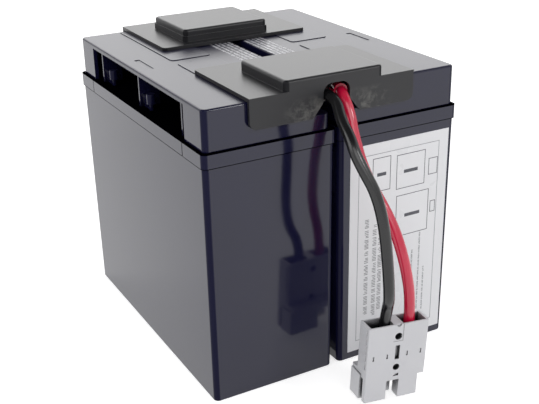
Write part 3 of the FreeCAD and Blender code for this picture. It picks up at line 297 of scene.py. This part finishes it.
    def add_dust(self, tree: bpy.types.NodeTree, place: bpy.types.NodeSocket,
                 tint: bpy.types.NodeSocket) -> bpy.types.NodeSocket:
        """Adds pale handling smudges low on the front face, beside the outlet of the leads.

        Args:
            tree: The material's tree.
            place: The object coordinates.
            tint: The colour so far.

        Returns:
            The colour with the smudges.
        """
        axes = add_node(tree, "SeparateXYZ", {0: place}).outputs
        cloud = add_node(tree, "TexNoise", {"Vector": place, "Scale": 1 / SMUDGE.patch,
                                            "Detail": 6.0, "Roughness": 0.7,
                                            "Distortion": 0.4}).outputs["Fac"]
        patches = add_node(tree, "MapRange", {"Value": cloud, 1: 0.46, 2: 0.66}).outputs[0]
        low = add_node(tree, "MapRange", {"Value": axes["Z"], 1: SMUDGE.top[0],
                                          2: SMUDGE.top[1], 3: 1.0, 4: 0.0}).outputs[0]
        aside = add_node(tree, "Math", {0: axes["X"]}, operation="ABSOLUTE").outputs[0]
        near = add_node(tree, "MapRange", {"Value": aside, 1: SMUDGE.aside[0],
                                           2: SMUDGE.aside[1], 3: 1.0, 4: 0.0}).outputs[0]
        low = add_node(tree, "Math", {0: low, 1: near}, operation="MULTIPLY").outputs[0]
        front = add_node(tree, "MapRange", {"Value": axes["Y"], 1: SMUDGE.front[0],
                                            2: SMUDGE.front[1], 3: 0.0, 4: 1.0}).outputs[0]
        spread = add_node(tree, "Math", {0: patches, 1: low}, operation="MULTIPLY").outputs[0]
        spread = add_node(tree, "Math", {0: spread, 1: front}, operation="MULTIPLY").outputs[0]
        spread = add_node(tree, "Math", {0: spread, 1: SMUDGE.share},
                          operation="MULTIPLY").outputs[0]
        return add_node(tree, "Mix", {0: spread, 6: tint, 7: colour(self.dust_hue)},
                        data_type="RGBA").outputs[2]

    def add_worn_and_highlit_edges(self, tree: bpy.types.NodeTree, drift: bpy.types.NodeSocket,
                  tint: bpy.types.NodeSocket) -> bpy.types.NodeSocket:
        """Adds a pale edge line: part rubbing wear, part painted highlight.

        Args:
            tree: The material's tree.
            drift: A slow noise that breaks the line up.
            tint: The colour so far.

        Returns:
            The colour with pale edges of wear and painted highlight.
        """
        soft = add_node(tree, "Bevel", {"Radius": 0.8 * self.edge_mm * MM}, samples=4)
        flat = add_node(tree, "NewGeometry").outputs["Normal"]
        turn = add_node(tree, "VectorMath", {0: soft.outputs[0], 1: flat},
                        operation="DOT_PRODUCT").outputs["Value"]
        # Painted highlight and wear: lighter colour where the bevel normal turns away at edges.
        edge = add_node(tree, "MapRange", {"Value": turn, 1: 0.98, 2: 0.75, 3: 0.0, 4: 0.7})
        wear_and_highlight = add_node(tree, "Math", {0: edge.outputs[0], 1: drift},
                        operation="MULTIPLY").outputs[0]
        return add_node(tree, "Mix", {0: wear_and_highlight, 6: tint, 7: colour(self.worn_and_highlit_edge_hue)},
                        data_type="RGBA").outputs[2]

    def add_satin_top(self, tree: bpy.types.NodeTree,
                      rough: bpy.types.NodeSocket) -> bpy.types.NodeSocket:
        """Makes the upward faces satin, as a spark-eroded mould leaves them.

        Args:
            tree: The material's tree.
            rough: The roughness of the polished walls.

        Returns:
            The roughness of the whole surface.
        """
        up = add_node(tree, "SeparateXYZ", {0: add_node(tree, "TexCoord").outputs["Normal"]})
        share = add_node(tree, "MapRange", {"Value": up.outputs["Z"], 1: 0.6, 2: 0.9}).outputs[0]
        return add_node(tree, "Mix", {0: share, 2: rough, 3: self.top_rough},
                        data_type="FLOAT").outputs[0]


# Glossy ABS, nearly black with a blue cast; polished mould walls mirror what stands near, and
# the lids' spark-eroded tops are satin. Its orange peel is about 2 mm from crest to crest, and
# the lines where the lid meets the case are dull and black. Its pale edge line is part wear and
# part painted highlight; its holes and gaps get painted shade, and its upright corners reflect
# less as painted shade.
CASE_ABS = Moulding("glossy_abs_navy_black", "#10102a", "#161632", 0.09, 0.02, ior=1.5,
                    grain_mm=2.2, bump_mm=0.004, worn_and_highlit_edge_hue="#3c3c52", edge_mm=0.3,
                    top_rough=0.34, corner_shade_specular=0.08, pit_shade_hue="#030308", pit_shade_mm=7.0,
                    joints=(144.6 * MM, 136.7 * MM))
# Fine-textured ABS of the terminal covers, charcoal; its spark-eroded grain is near 0.6 mm.
# Its pale edge line is part wear and part painted highlight; its upright corners reflect less
# as painted shade.
COVER_ABS = Moulding("textured_abs_charcoal", "#17171a", "#1e1e21", 0.4, 0.05, ior=1.46,
                     grain_mm=0.7, bump_mm=0.02, worn_and_highlit_edge_hue="#5a5a5e", edge_mm=0.3,
                     top_rough=0.36, dust_hue="#6e6e6a", corner_shade_specular=0.1)
# Polycarbonate of the power connector, light grey, lightly matt from its mould. Its pale edge
# line is part wear and part painted highlight; its holes, slots and bays are darkened as
# painted shade.
CONNECTOR_PC = Moulding("moulded_polycarbonate_grey", "#c3c3c8", "#cccccf", 0.38, 0.05,
                        ior=1.58, grain_mm=0.8, bump_mm=0.012, drift_mm=18.0,
                        worn_and_highlit_edge_hue="#dcdce0", edge_mm=0.25, pit_shade_hue="#0c0c10",
                        pit_shade_mm=14.0, pit_shade_range=(0.66, 0.38))
# Plasticised PVC insulation, black, with a soft gloss and a faint draw line.
BLACK_PVC = Moulding("pvc_insulation_black", "#0b0b0d", "#111113", 0.24, 0.04, ior=1.53,
                     grain_mm=1.6, bump_mm=0.012, drift_mm=25.0)
# The same PVC in crimson; glossier, because its pigment is finer.
RED_PVC = Moulding("pvc_insulation_red", "#bb0c34", "#c8143e", 0.2, 0.04, ior=1.53,
                   grain_mm=1.6, bump_mm=0.012, drift_mm=25.0, coat=0.3)
# Polyester film of the label, white, with a slight waviness from its adhesive.
LABEL_PET = Moulding("polyester_label_film", "#dcdde0", "#e2e2e5", 0.3, 0.04, ior=1.57,
                     grain_mm=7.0, bump_mm=0.01, drift_mm=30.0)
# Zinc-plated steel fasteners: a cool metal with a fine drift in its plating.
ZINC = Moulding("zinc_plated_steel", "#b9bcc0", "#a6a9ad", 0.3, 0.06, grain_mm=0.8,
                bump_mm=0.006, drift_mm=6.0, metallic=1.0)
# Tinned copper of the lugs and the link: pale, slightly dull metal.
TIN = Moulding("tinned_copper", "#c2c1bd", "#aeada8", 0.34, 0.06, grain_mm=0.7,
               bump_mm=0.008, drift_mm=8.0, metallic=1.0)
# Silver-plated copper of the connector's contacts.
SILVER = Moulding("silver_plated_copper", "#d8d5cd", "#c4c0b4", 0.22, 0.05, grain_mm=0.6,
                  bump_mm=0.005, drift_mm=6.0, metallic=1.0)
# Hardened spring steel, darker and smoother.
SPRING = Moulding("spring_steel", "#8a8c90", "#7a7c80", 0.26, 0.05, grain_mm=0.6,
                  bump_mm=0.004, drift_mm=6.0, metallic=1.0)
# Cast lead alloy of the poles and straps: dull blue-grey with a cast skin.
LEAD = Moulding("cast_lead_alloy", "#74777c", "#62656a", 0.5, 0.08, grain_mm=1.0,
                bump_mm=0.03, drift_mm=7.0, metallic=1.0)
# Epoxy that seals the poles: glassy, almost black.
EPOXY = Moulding("epoxy_seal_resin", "#1d1f22", "#262829", 0.16, 0.03, ior=1.56,
                 grain_mm=4.0, bump_mm=0.01, drift_mm=9.0)
# EPDM of the vent valves: matt black rubber.
RUBBER = Moulding("epdm_valve_rubber", "#1a1a1a", "#232323", 0.62, 0.05, grain_mm=0.6,
                  bump_mm=0.02, drift_mm=8.0)
# Closed-cell polyethylene foam between the batteries, with cells near half a millimetre.
FOAM = Moulding("polyethylene_foam", "#303033", "#3b3b3f", 0.85, 0.05, grain_mm=0.5,
                bump_mm=0.15, drift_mm=8.0)
# Cured plate pastes: lead dioxide is brown, sponge lead is grey.
POSITIVE = Moulding("lead_dioxide_paste", "#3c2a22", "#46332a", 0.8, 0.05, grain_mm=0.6,
                    bump_mm=0.06, drift_mm=12.0)
NEGATIVE = Moulding("sponge_lead_paste", "#5c5f63", "#686b6f", 0.8, 0.05, grain_mm=0.6,
                    bump_mm=0.06, drift_mm=12.0)
# Absorbent glass-fibre mat between the plates: white felt.
GLASS_MAT = Moulding("glass_fibre_mat", "#d9d9d4", "#e3e3df", 0.9, 0.04, grain_mm=0.5,
                     bump_mm=0.08, drift_mm=10.0)


@dataclass(frozen=True)
class PrintInk:
    """A screen-printed ink, slightly uneven where the screen left less of it."""

    ink: Ink
    rough: float = 0.5

    def make(self) -> bpy.types.Material:
        """Builds the ink's material.

        Returns:
            The finished material.
        """
        material, tree = blank_material("screen_ink_" + self.ink.name.lower())
        place = add_node(tree, "TexCoord").outputs["Object"]
        patch = add_node(tree, "TexNoise", {"Vector": place, "Scale": 1 / (3 * MM),
                                            "Detail": 2.0}).outputs["Fac"]
        tone = add_node(tree, "HueSaturation", {
            "Color": colour(self.ink.value),
            "Value": add_node(tree, "MapRange", {"Value": patch, 1: 0.3, 2: 0.7, 3: 0.85,
                                                 4: 1.15}).outputs[0]}).outputs[0]
        shader = add_node(tree, "BsdfPrincipled", {"Base Color": tone, "Roughness": self.rough})
        add_node(tree, "OutputMaterial", {"Surface": shader.outputs["BSDF"]})
        return material


def finish_piece(name: str, mesh_maker: bmesh.types.BMesh, material: bpy.types.Material) -> bpy.types.Object:
    """Turns a bmesh into a piece that rides on the cartridge.

    Args:
        name: The piece's name.
        mesh_maker: The bmesh, already in place; it is freed here.
        material: What the piece is made of.

    Returns:
        The new object.
    """
    mesh = bpy.data.meshes.new(name)
    mesh_maker.to_mesh(mesh)
    mesh_maker.free()
    mesh.materials.append(material)
    piece = bpy.data.objects.new(name, mesh)
    bpy.context.scene.collection.objects.link(piece)
    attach(piece, BODY)
    LOG.info("%s: %d faces", name, len(mesh.polygons))
    return piece


@dataclass
class Print:
    """Ink laid on a flat face, as thin bars in the face's own plane."""

    plane: Matrix
    proud: float = 0.04 * MM
    mesh: bmesh.types.BMesh = field(default_factory=bmesh.new)

    def bar(self, across: tuple[float, float], along: tuple[float, float]) -> None:
        """Lays one bar.

        Args:
            across: Its two ends across the face, in metres.
            along: Its two ends along the face, in metres.
        """
        middle = Vector((sum(across) / 2, sum(along) / 2, self.proud / 2))
        spans = Matrix.Diagonal((across[1] - across[0], along[1] - along[0], self.proud, 1.0))
        bmesh.ops.create_cube(self.mesh, size=1.0,
                              matrix=self.plane @ Matrix.Translation(middle) @ spans)

    def outline(self, across: tuple[float, float], along: tuple[float, float],
                pen: float) -> None:
        """Draws an open rectangle.

        Args:
            across: Its two ends across the face.
            along: Its two ends along the face.
            pen: The width of its line.
        """
        (left, right), (low, high) = across, along
        self.bar((left, right), (low, low + pen))
        self.bar((left, right), (high - pen, high))
        self.bar((left, left + pen), (low + pen, high - pen))
        self.bar((right - pen, right), (low + pen, high - pen))

    def words(self, across: tuple[float, float], along: tuple[float, float], pen: float,
              pitch: float, draw: random.Random) -> None:
        """Fills a column with short strokes in groups, as lines of small print look from afar.

        Args:
            across: The column's two ends across the face: how tall its strokes are.
            along: Where the line starts and ends along the face.
            pen: The width of a stroke.
            pitch: From one stroke to the next.
            draw: Where the lengths of the groups come from.
        """
        place, left_in_group = along[0], draw.randint(3, 9)
        tall = across[1] - across[0]
        while place + pen < along[1]:
            if left_in_group:
                inset = tall * draw.choice((0.0, 0.0, 0.0, 0.28))
                self.bar((across[0] + inset, across[1]), (place, place + pen))
                left_in_group -= 1
            else:
                left_in_group = draw.randint(3, 9)
            place += pitch * draw.uniform(0.85, 1.15)


@dataclass
class FaceLabel:
    """The label on the front of the right battery, and what is printed on it."""

    node: str = "face_label"
    film: float = 0.2 * MM
    border: tuple[float, float] = (5.4 * MM, 6.2 * MM)
    rule: float = 0.35 * MM
    pen: float = 0.38 * MM
    boxes: tuple[tuple[float, float, float, float], ...] = (
        (14.5, 26.5, 98.0, 118.0), (30.5, 50.0, 96.5, 117.0), (31.0, 53.5, 67.0, 92.5),
        (52.5, 58.8, 101.0, 111.0), (54.8, 58.4, 77.5, 84.5))
    bars: tuple[tuple[float, float, float, float], ...] = (
        (17.5, 23.5, 107.0, 109.0), (35.5, 45.0, 105.5, 107.5), (37.0, 47.5, 78.5, 80.5))
    large_lines: tuple[tuple[float, float, float], ...] = (
        (10.2, 22.4, 82.5), (15.6, 20.4, 78.5), (19.4, 23.4, 84.5))
    small_lines: tuple[tuple[float, float, float], ...] = (
        (43.0, 21.5, 56.5), (48.0, 15.5, 66.5), (51.7, 14.5, 43.5))

    def plane(self) -> Matrix:
        """Finds the label's face.

        Returns:
            The matrix that takes (across, up, outward) from the label's corner into place.
        """
        low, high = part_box(self.node)
        lean = math.atan2(high.y - low.y - self.film, high.z - low.z)
        corner = Vector((low.x, high.y - self.film, low.z))
        return Matrix.Translation(corner) @ Matrix.Rotation(math.pi / 2 + lean, 4, "X")

    def build(self) -> None:
        """Prints the label: a border, blank boxes and lines of small strokes."""
        low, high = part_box(self.node)
        wide, tall = high.x - low.x, high.z - low.z
        rules = Print(self.plane())
        rules.outline((self.border[0], wide - self.border[1]),
                      (self.border[1], tall - self.border[1]), self.rule)
        finish_piece("label_rules", rules.mesh, PrintInk(Ink.LABEL_RULE).make())
        text = Print(self.plane())
        for left, right, bottom, top in self.boxes:
            text.outline((left * MM, right * MM), (bottom * MM, top * MM), self.pen)
        for left, right, bottom, top in self.bars:
            text.bar((left * MM, right * MM), (bottom * MM, top * MM))
        draw = random.Random(11)
        for left, bottom, top in self.large_lines:
            text.words((left * MM, (left + 2.6) * MM), (bottom * MM, top * MM), 0.32 * MM,
                       0.95 * MM, draw)
        for left, bottom, top in self.small_lines:
            text.words((left * MM, (left + 1.0) * MM), (bottom * MM, top * MM), 0.22 * MM,
                       0.5 * MM, draw)
        finish_piece("label_print", text.mesh, PrintInk(Ink.LABEL_TEXT).make())


@dataclass
class LidPrint:
    """Lines of small print on a lid, beside the gap between the two batteries."""

    side: Side
    lines: int = 5
    first: float = 3.5 * MM
    step: float = 2.9 * MM
    tall: float = 1.5 * MM
    reach: tuple[float, float] = (-27.0 * MM, 29.5 * MM)

    def build(self) -> None:
        """Prints the lines on the lid's top."""
        low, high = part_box(self.side.value + "_lid")
        inner = high.x if self.side is Side.LEFT else low.x
        outward = -1 if self.side is Side.LEFT else 1
        top = high.z
        ink = Print(Matrix.Translation((inner, 0.0, top)), 0.03 * MM)
        draw = random.Random(5 if self.side is Side.LEFT else 8)
        for line in range(self.lines):
            near = outward * (self.first + line * self.step)
            across = tuple(sorted((near, near + outward * self.tall)))
            trimmed = (self.reach[0] + draw.uniform(0, 9) * MM,
                       self.reach[1] - draw.uniform(0, 5) * MM)
            ink.words(across, trimmed, 0.45 * MM, 0.95 * MM, draw)
        finish_piece(f"{self.side.value}_lid_print", ink.mesh, PrintInk(Ink.LID_TEXT).make())


@dataclass
class Lead:
    """One insulated lead, from its lug under the front cover to its contact."""

    name: str
    node: str
    finish: Moulding
    slot: str
    route: tuple[Point, ...]
    length: float
    holds: tuple[str, ...]
    diameter: float = 6.0 * MM

    def build(self) -> bpy.types.Object:
        """Lays the lead as one smooth curve.

        Returns:
            The lead.
        """
        curve = bpy.data.curves.new(self.name, "CURVE")
        curve.dimensions = "3D"
        curve.bevel_depth = self.diameter / 2
        curve.bevel_resolution = 8
        curve.resolution_u = 16
        curve.use_fill_caps = True
        spline = curve.splines.new("NURBS")
        spline.points.add(len(self.route) - 1)
        for point, place in zip(spline.points, self.route):
            point.co = (*place, 1.0)
        spline.order_u = 3
        spline.use_endpoint_u = True
        curve.materials.append(self.finish.make())
        piece = bpy.data.objects.new(self.name, curve)
        bpy.context.scene.collection.objects.link(piece)
        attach(piece, BODY)
        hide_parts(self.node)
        LOG.info("%s: %d route points", self.name, len(self.route))
        return piece


BLACK_LEAD = Lead(
    "black_lead_wire", "black_lead", BLACK_PVC, "black_insulation",
    ((-0.006547, -0.087737, 0.1637),
     (-0.00497, -0.09585, 0.1637),
     (-0.0098, -0.1085, 0.1557),
     (-0.0114, -0.119, 0.1504),
     (-0.012, -0.126, 0.1417),
     (-0.0031, -0.1366, 0.1185),
     (-0.0021, -0.1437, 0.0712),
     (0.003686, -0.133322, 0.055871),
     (0.000811, -0.132979, 0.039403)),
    0.154, ("black_contact_crimp",))
RED_LEAD = Lead(
    "red_lead_wire", "red_lead", RED_PVC, "red_insulation",
    ((0.00369, -0.086918, 0.1637),
     (-0.00008, -0.09486, 0.164),
     (0.0006, -0.10065, 0.15565),
     (0., -0.1048, 0.14565),
     (0.0016, -0.1137, 0.1261),
     (0.0089, -0.1287, 0.1034),
     (0.0126, -0.1362, 0.0813),
     (0.017945, -0.135022, 0.056595),
     (0.016675, -0.134871, 0.038538)),
    0.144, ("red_contact_crimp",))


@dataclass
class SlimPiece:
    """A solid of the power connector, drawn slimmer at its cable end, as it is moulded."""

    name: str
    node: str
    finish: Moulding
    slot: str
    waist: float = 17.2 * MM
    step: float = 0.6 * MM
    front: float = -8.0 * MM
    depth_share: float = 0.66
    height_share: float = 0.968
    lean: float = math.radians(1.2)

    def seat(self) -> Matrix:
        """Finds where the connector hangs.

        Returns:
            The matrix that takes (across, back, up from the mating end) into place.
        """
        mounts = {mount["name"]: mount for mount in frame["record"]["mounts"]}
        end = mounts["connector_mating_end"]
        up = -Vector(end["axis"]).normalized()
        back = -Vector(mounts["upper_pin_hole"]["axis"]).normalized()
        across = back.cross(up).normalized()
        turn = Matrix((across, up.cross(across), up)).transposed().to_4x4()
        return Matrix.Translation(end["pos_m"]) @ turn

    def build(self) -> bpy.types.Object:
        """Reshapes a copy of the solid.

        Returns:
            The piece that stands for it.
        """
        seat = self.seat()
        shape = bmesh.new()
        shape.from_mesh(frame["nodes"][self.node].data)
        bmesh.ops.remove_doubles(shape, verts=shape.verts, dist=0.001 * MM)
        bmesh.ops.transform(shape, matrix=seat.inverted(), verts=shape.verts)
        for level in (self.waist, self.waist + self.step):
            bmesh.ops.bisect_plane(shape, geom=[*shape.verts, *shape.edges, *shape.faces],
                                   plane_co=(0.0, 0.0, level), plane_no=(0.0, 0.0, 1.0))
        upper = [corner for corner in shape.verts if corner.co.z > self.waist + self.step / 2]
        bmesh.ops.scale(shape, vec=(1.0, self.depth_share, 1.0), verts=upper,
                        space=Matrix.Translation((0.0, -self.front, 0.0)))
        bmesh.ops.scale(shape, vec=(1.0, 1.0, self.height_share), verts=shape.verts)
        bmesh.ops.transform(shape, matrix=seat @ Matrix.Rotation(self.lean, 4, "Y"),
                            verts=shape.verts)
        piece = finish_piece(self.name, shape, self.finish.make())
        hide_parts(self.node)
        return piece


# The contacts are built before the leads; each lead lists the piece on its end by name.
CONNECTOR = (
    SlimPiece("black_contact_crimp", "black_contact", SILVER, "silvered_copper"),
    SlimPiece("red_contact_crimp", "red_contact", SILVER, "silvered_copper"),
    SlimPiece("connector_shell", "connector_housing", CONNECTOR_PC, "connector_plastic"))


@dataclass
class Studio:
    """The floor, the soft lights, the white surround and the camera."""

    floor_size: float = 14.0
    camera_place: Point = (-0.2600, -0.4945, 0.3096)
    camera_aim: Point = (0.0021, -0.0095, 0.0726)
    camera_roll: float = math.radians(-1.275)
    lens: float = 64.65
    clip_far: float = 60.0
    ceiling: float = 0.12

    def build(self) -> None:
        """Makes everything round the cartridge."""
        scene = bpy.context.scene
        scene.view_settings.view_transform = "Standard"
        self.make_camera(scene)
        self.make_world(scene)
        self.make_floor(scene)
        self.make_light("back_softbox", (0.85, 1.75, 1.2), (0.0, 0.0, 0.15), (2.6, 1.4), 22.0)
        self.make_light("front_fill", (-0.55, -1.5, 0.95), (0.0, 0.0, 0.08), (1.4, 1.1), 9.5)
        self.make_light("key_strip", (0.7, -1.19, 0.9), (0.0, 0.0, 0.08), (0.35, 0.25), 4.5)
        self.make_light("left_fill", (-1.5, 0.1, 0.8), (0.0, 0.0, 0.08), (1.2, 1.0), 7.0)
        LOG.info("studio made")

    def make_camera(self, scene: bpy.types.Scene) -> None:
        """Sets the camera at a standing person's view of the corner.

        Args:
            scene: The scene that gets it.
        """
        camera = bpy.data.cameras.new("camera")
        camera.lens = self.lens
        camera.clip_end = self.clip_far
        seat = bpy.data.objects.new("camera", camera)
        scene.collection.objects.link(seat)
        place = Vector(self.camera_place)
        turn = (Vector(self.camera_aim) - place).to_track_quat("-Z", "Y")
        seat.location = place
        seat.rotation_mode = "QUATERNION"
        seat.rotation_quaternion = turn @ Quaternion((0.0, 0.0, 1.0), self.camera_roll)
        scene.camera = seat

    def make_world(self, scene: bpy.types.Scene) -> None:
        """Surrounds the scene with white walls that light it gently, under a dim ceiling.

        Args:
            scene: The scene that gets it.
        """
        world = bpy.data.worlds.new("white_surround")
        world.use_nodes = True
        tree = world.node_tree
        tree.nodes.clear()
        seen = self.seen_directly(tree)
        aim = add_node(tree, "SeparateXYZ", {0: add_node(tree, "TexCoord").outputs["Generated"]})
        walls = add_node(tree, "MapRange", {"Value": aim.outputs["Z"], 1: 0.5, 2: 0.8,
                                            3: 1.0, 4: self.ceiling}).outputs[0]
        camera = add_node(tree, "LightPath").outputs["Is Camera Ray"]
        walls = add_node(tree, "Math", {0: walls, 1: camera}, operation="MAXIMUM").outputs[0]
        strength = add_node(tree, "Mix", {0: seen, 2: 0.42, 3: walls}, data_type="FLOAT")
        shade = add_node(tree, "Background", {"Color": colour("#ffffff"),
                                              "Strength": strength.outputs[0]})
        add_node(tree, "OutputWorld", {"Surface": shade.outputs[0]})
        scene.world = world

    def seen_directly(self, tree: bpy.types.NodeTree) -> bpy.types.NodeSocket:
        """Tells rays that show a surface from rays that carry its light.

        Args:
            tree: The tree that gets the nodes.

        Returns:
            1 for camera, mirror and see-through rays, else 0.
        """
        path = add_node(tree, "LightPath").outputs
        both = add_node(tree, "Math", {0: path["Is Camera Ray"], 1: path["Is Glossy Ray"]},
                        operation="MAXIMUM").outputs[0]
        return add_node(tree, "Math", {0: both, 1: path["Is Transmission Ray"]},
                        operation="MAXIMUM").outputs[0]

    def make_floor(self, scene: bpy.types.Scene) -> None:
        """Lays a white floor that keeps the cartridge's soft shadow.

        Args:
            scene: The scene that gets it.
        """
        material, tree = blank_material("white_floor")
        seen = self.seen_directly(tree)
        glow = add_node(tree, "Mix", {0: seen, 2: 0.0, 3: 0.62}, data_type="FLOAT").outputs[0]
        place = add_node(tree, "TexCoord").outputs["Object"]
        paper = add_node(tree, "TexNoise", {"Vector": place, "Scale": 60.0}).outputs["Fac"]
        tone = add_node(tree, "Mix", {0: paper, 6: colour("#e9e9e9"), 7: colour("#ececec")},
                        data_type="RGBA").outputs[2]
        shader = add_node(tree, "BsdfPrincipled", {
            "Base Color": tone, "Roughness": 0.9, "Specular IOR Level": 0.0,
            "Emission Color": colour("#ffffff"), "Emission Strength": glow})
        add_node(tree, "OutputMaterial", {"Surface": shader.outputs["BSDF"]})
        mesh_maker = bmesh.new()
        bmesh.ops.create_grid(mesh_maker, x_segments=1, y_segments=1, size=self.floor_size / 2)
        bmesh.ops.translate(mesh_maker, verts=mesh_maker.verts, vec=(0.0, 0.0, CAD_BOX[0].z))
        mesh = bpy.data.meshes.new("floor")
        mesh_maker.to_mesh(mesh)
        mesh_maker.free()
        mesh.materials.append(material)
        floor = bpy.data.objects.new("floor", mesh)
        scene.collection.objects.link(floor)

    def make_light(self, name: str, place: Point, aim: Point, size: tuple[float, float],
                   power: float) -> None:
        """Hangs one soft rectangular light.

        Args:
            name: The light's name.
            place: Where it hangs.
            aim: What it faces.
            size: Its width and height.
            power: Its power in watts.
        """
        light = bpy.data.lights.new(name, "AREA")
        light.shape = "RECTANGLE"
        light.size, light.size_y = size
        light.energy = power
        lamp = bpy.data.objects.new(name, light)
        bpy.context.scene.collection.objects.link(lamp)
        lamp.location = place
        lamp.rotation_mode = "QUATERNION"
        lamp.rotation_quaternion = (Vector(aim) - Vector(place)).to_track_quat("-Z", "Y")
        lamp.visible_camera = False


@dataclass
class Carried:
    """The solids that keep their shape and only get their finish."""

    finishes: dict[str, Moulding] = field(default_factory=lambda: {
        "case_plastic": CASE_ABS, "cover_plastic": COVER_ABS, "vent_rubber": RUBBER,
        "seal_resin": EPOXY, "lead_alloy": LEAD, "positive_paste": POSITIVE,
        "negative_paste": NEGATIVE, "glass_mat": GLASS_MAT, "foam": FOAM, "zinc_steel": ZINC,
        "tinned_copper": TIN, "label_film": LABEL_PET, "connector_plastic": CONNECTOR_PC,
        "silvered_copper": SILVER, "spring_steel": SPRING})
    # The lugs get their lead's own insulation finish all over, in place of a sleeve on their barrels.
    sleeved: dict[str, Moulding] = field(default_factory=lambda: {
        "black_lug": BLACK_PVC, "red_lug": RED_PVC})

    def build(self) -> None:
        """Gives every carried solid the finish of its material slot; the lugs get their lead's insulation.
        """
        made = {slot: finish.make() for slot, finish in self.finishes.items()}
        for name, solid in frame["nodes"].items():
            for place in solid.material_slots:
                slot = place.material.name.split(".")[0]
                if name in self.sleeved:
                    place.material = self.sleeved[name].make()
                elif slot in made:
                    place.material = made[slot]
            LOG.info("%s: %s", name, [place.material.name for place in solid.material_slots])


def main() -> None:
    """Builds the cartridge's looks in order."""
    logging.basicConfig(level=logging.INFO, format="%(name)s: %(message)s")
    Studio().build()
    for piece in CONNECTOR:
        piece.build()
    BLACK_LEAD.build()
    RED_LEAD.build()
    Carried().build()
    FaceLabel().build()
    for side in Side:
        LidPrint(side).build()


if __name__ == "__main__":
    main()
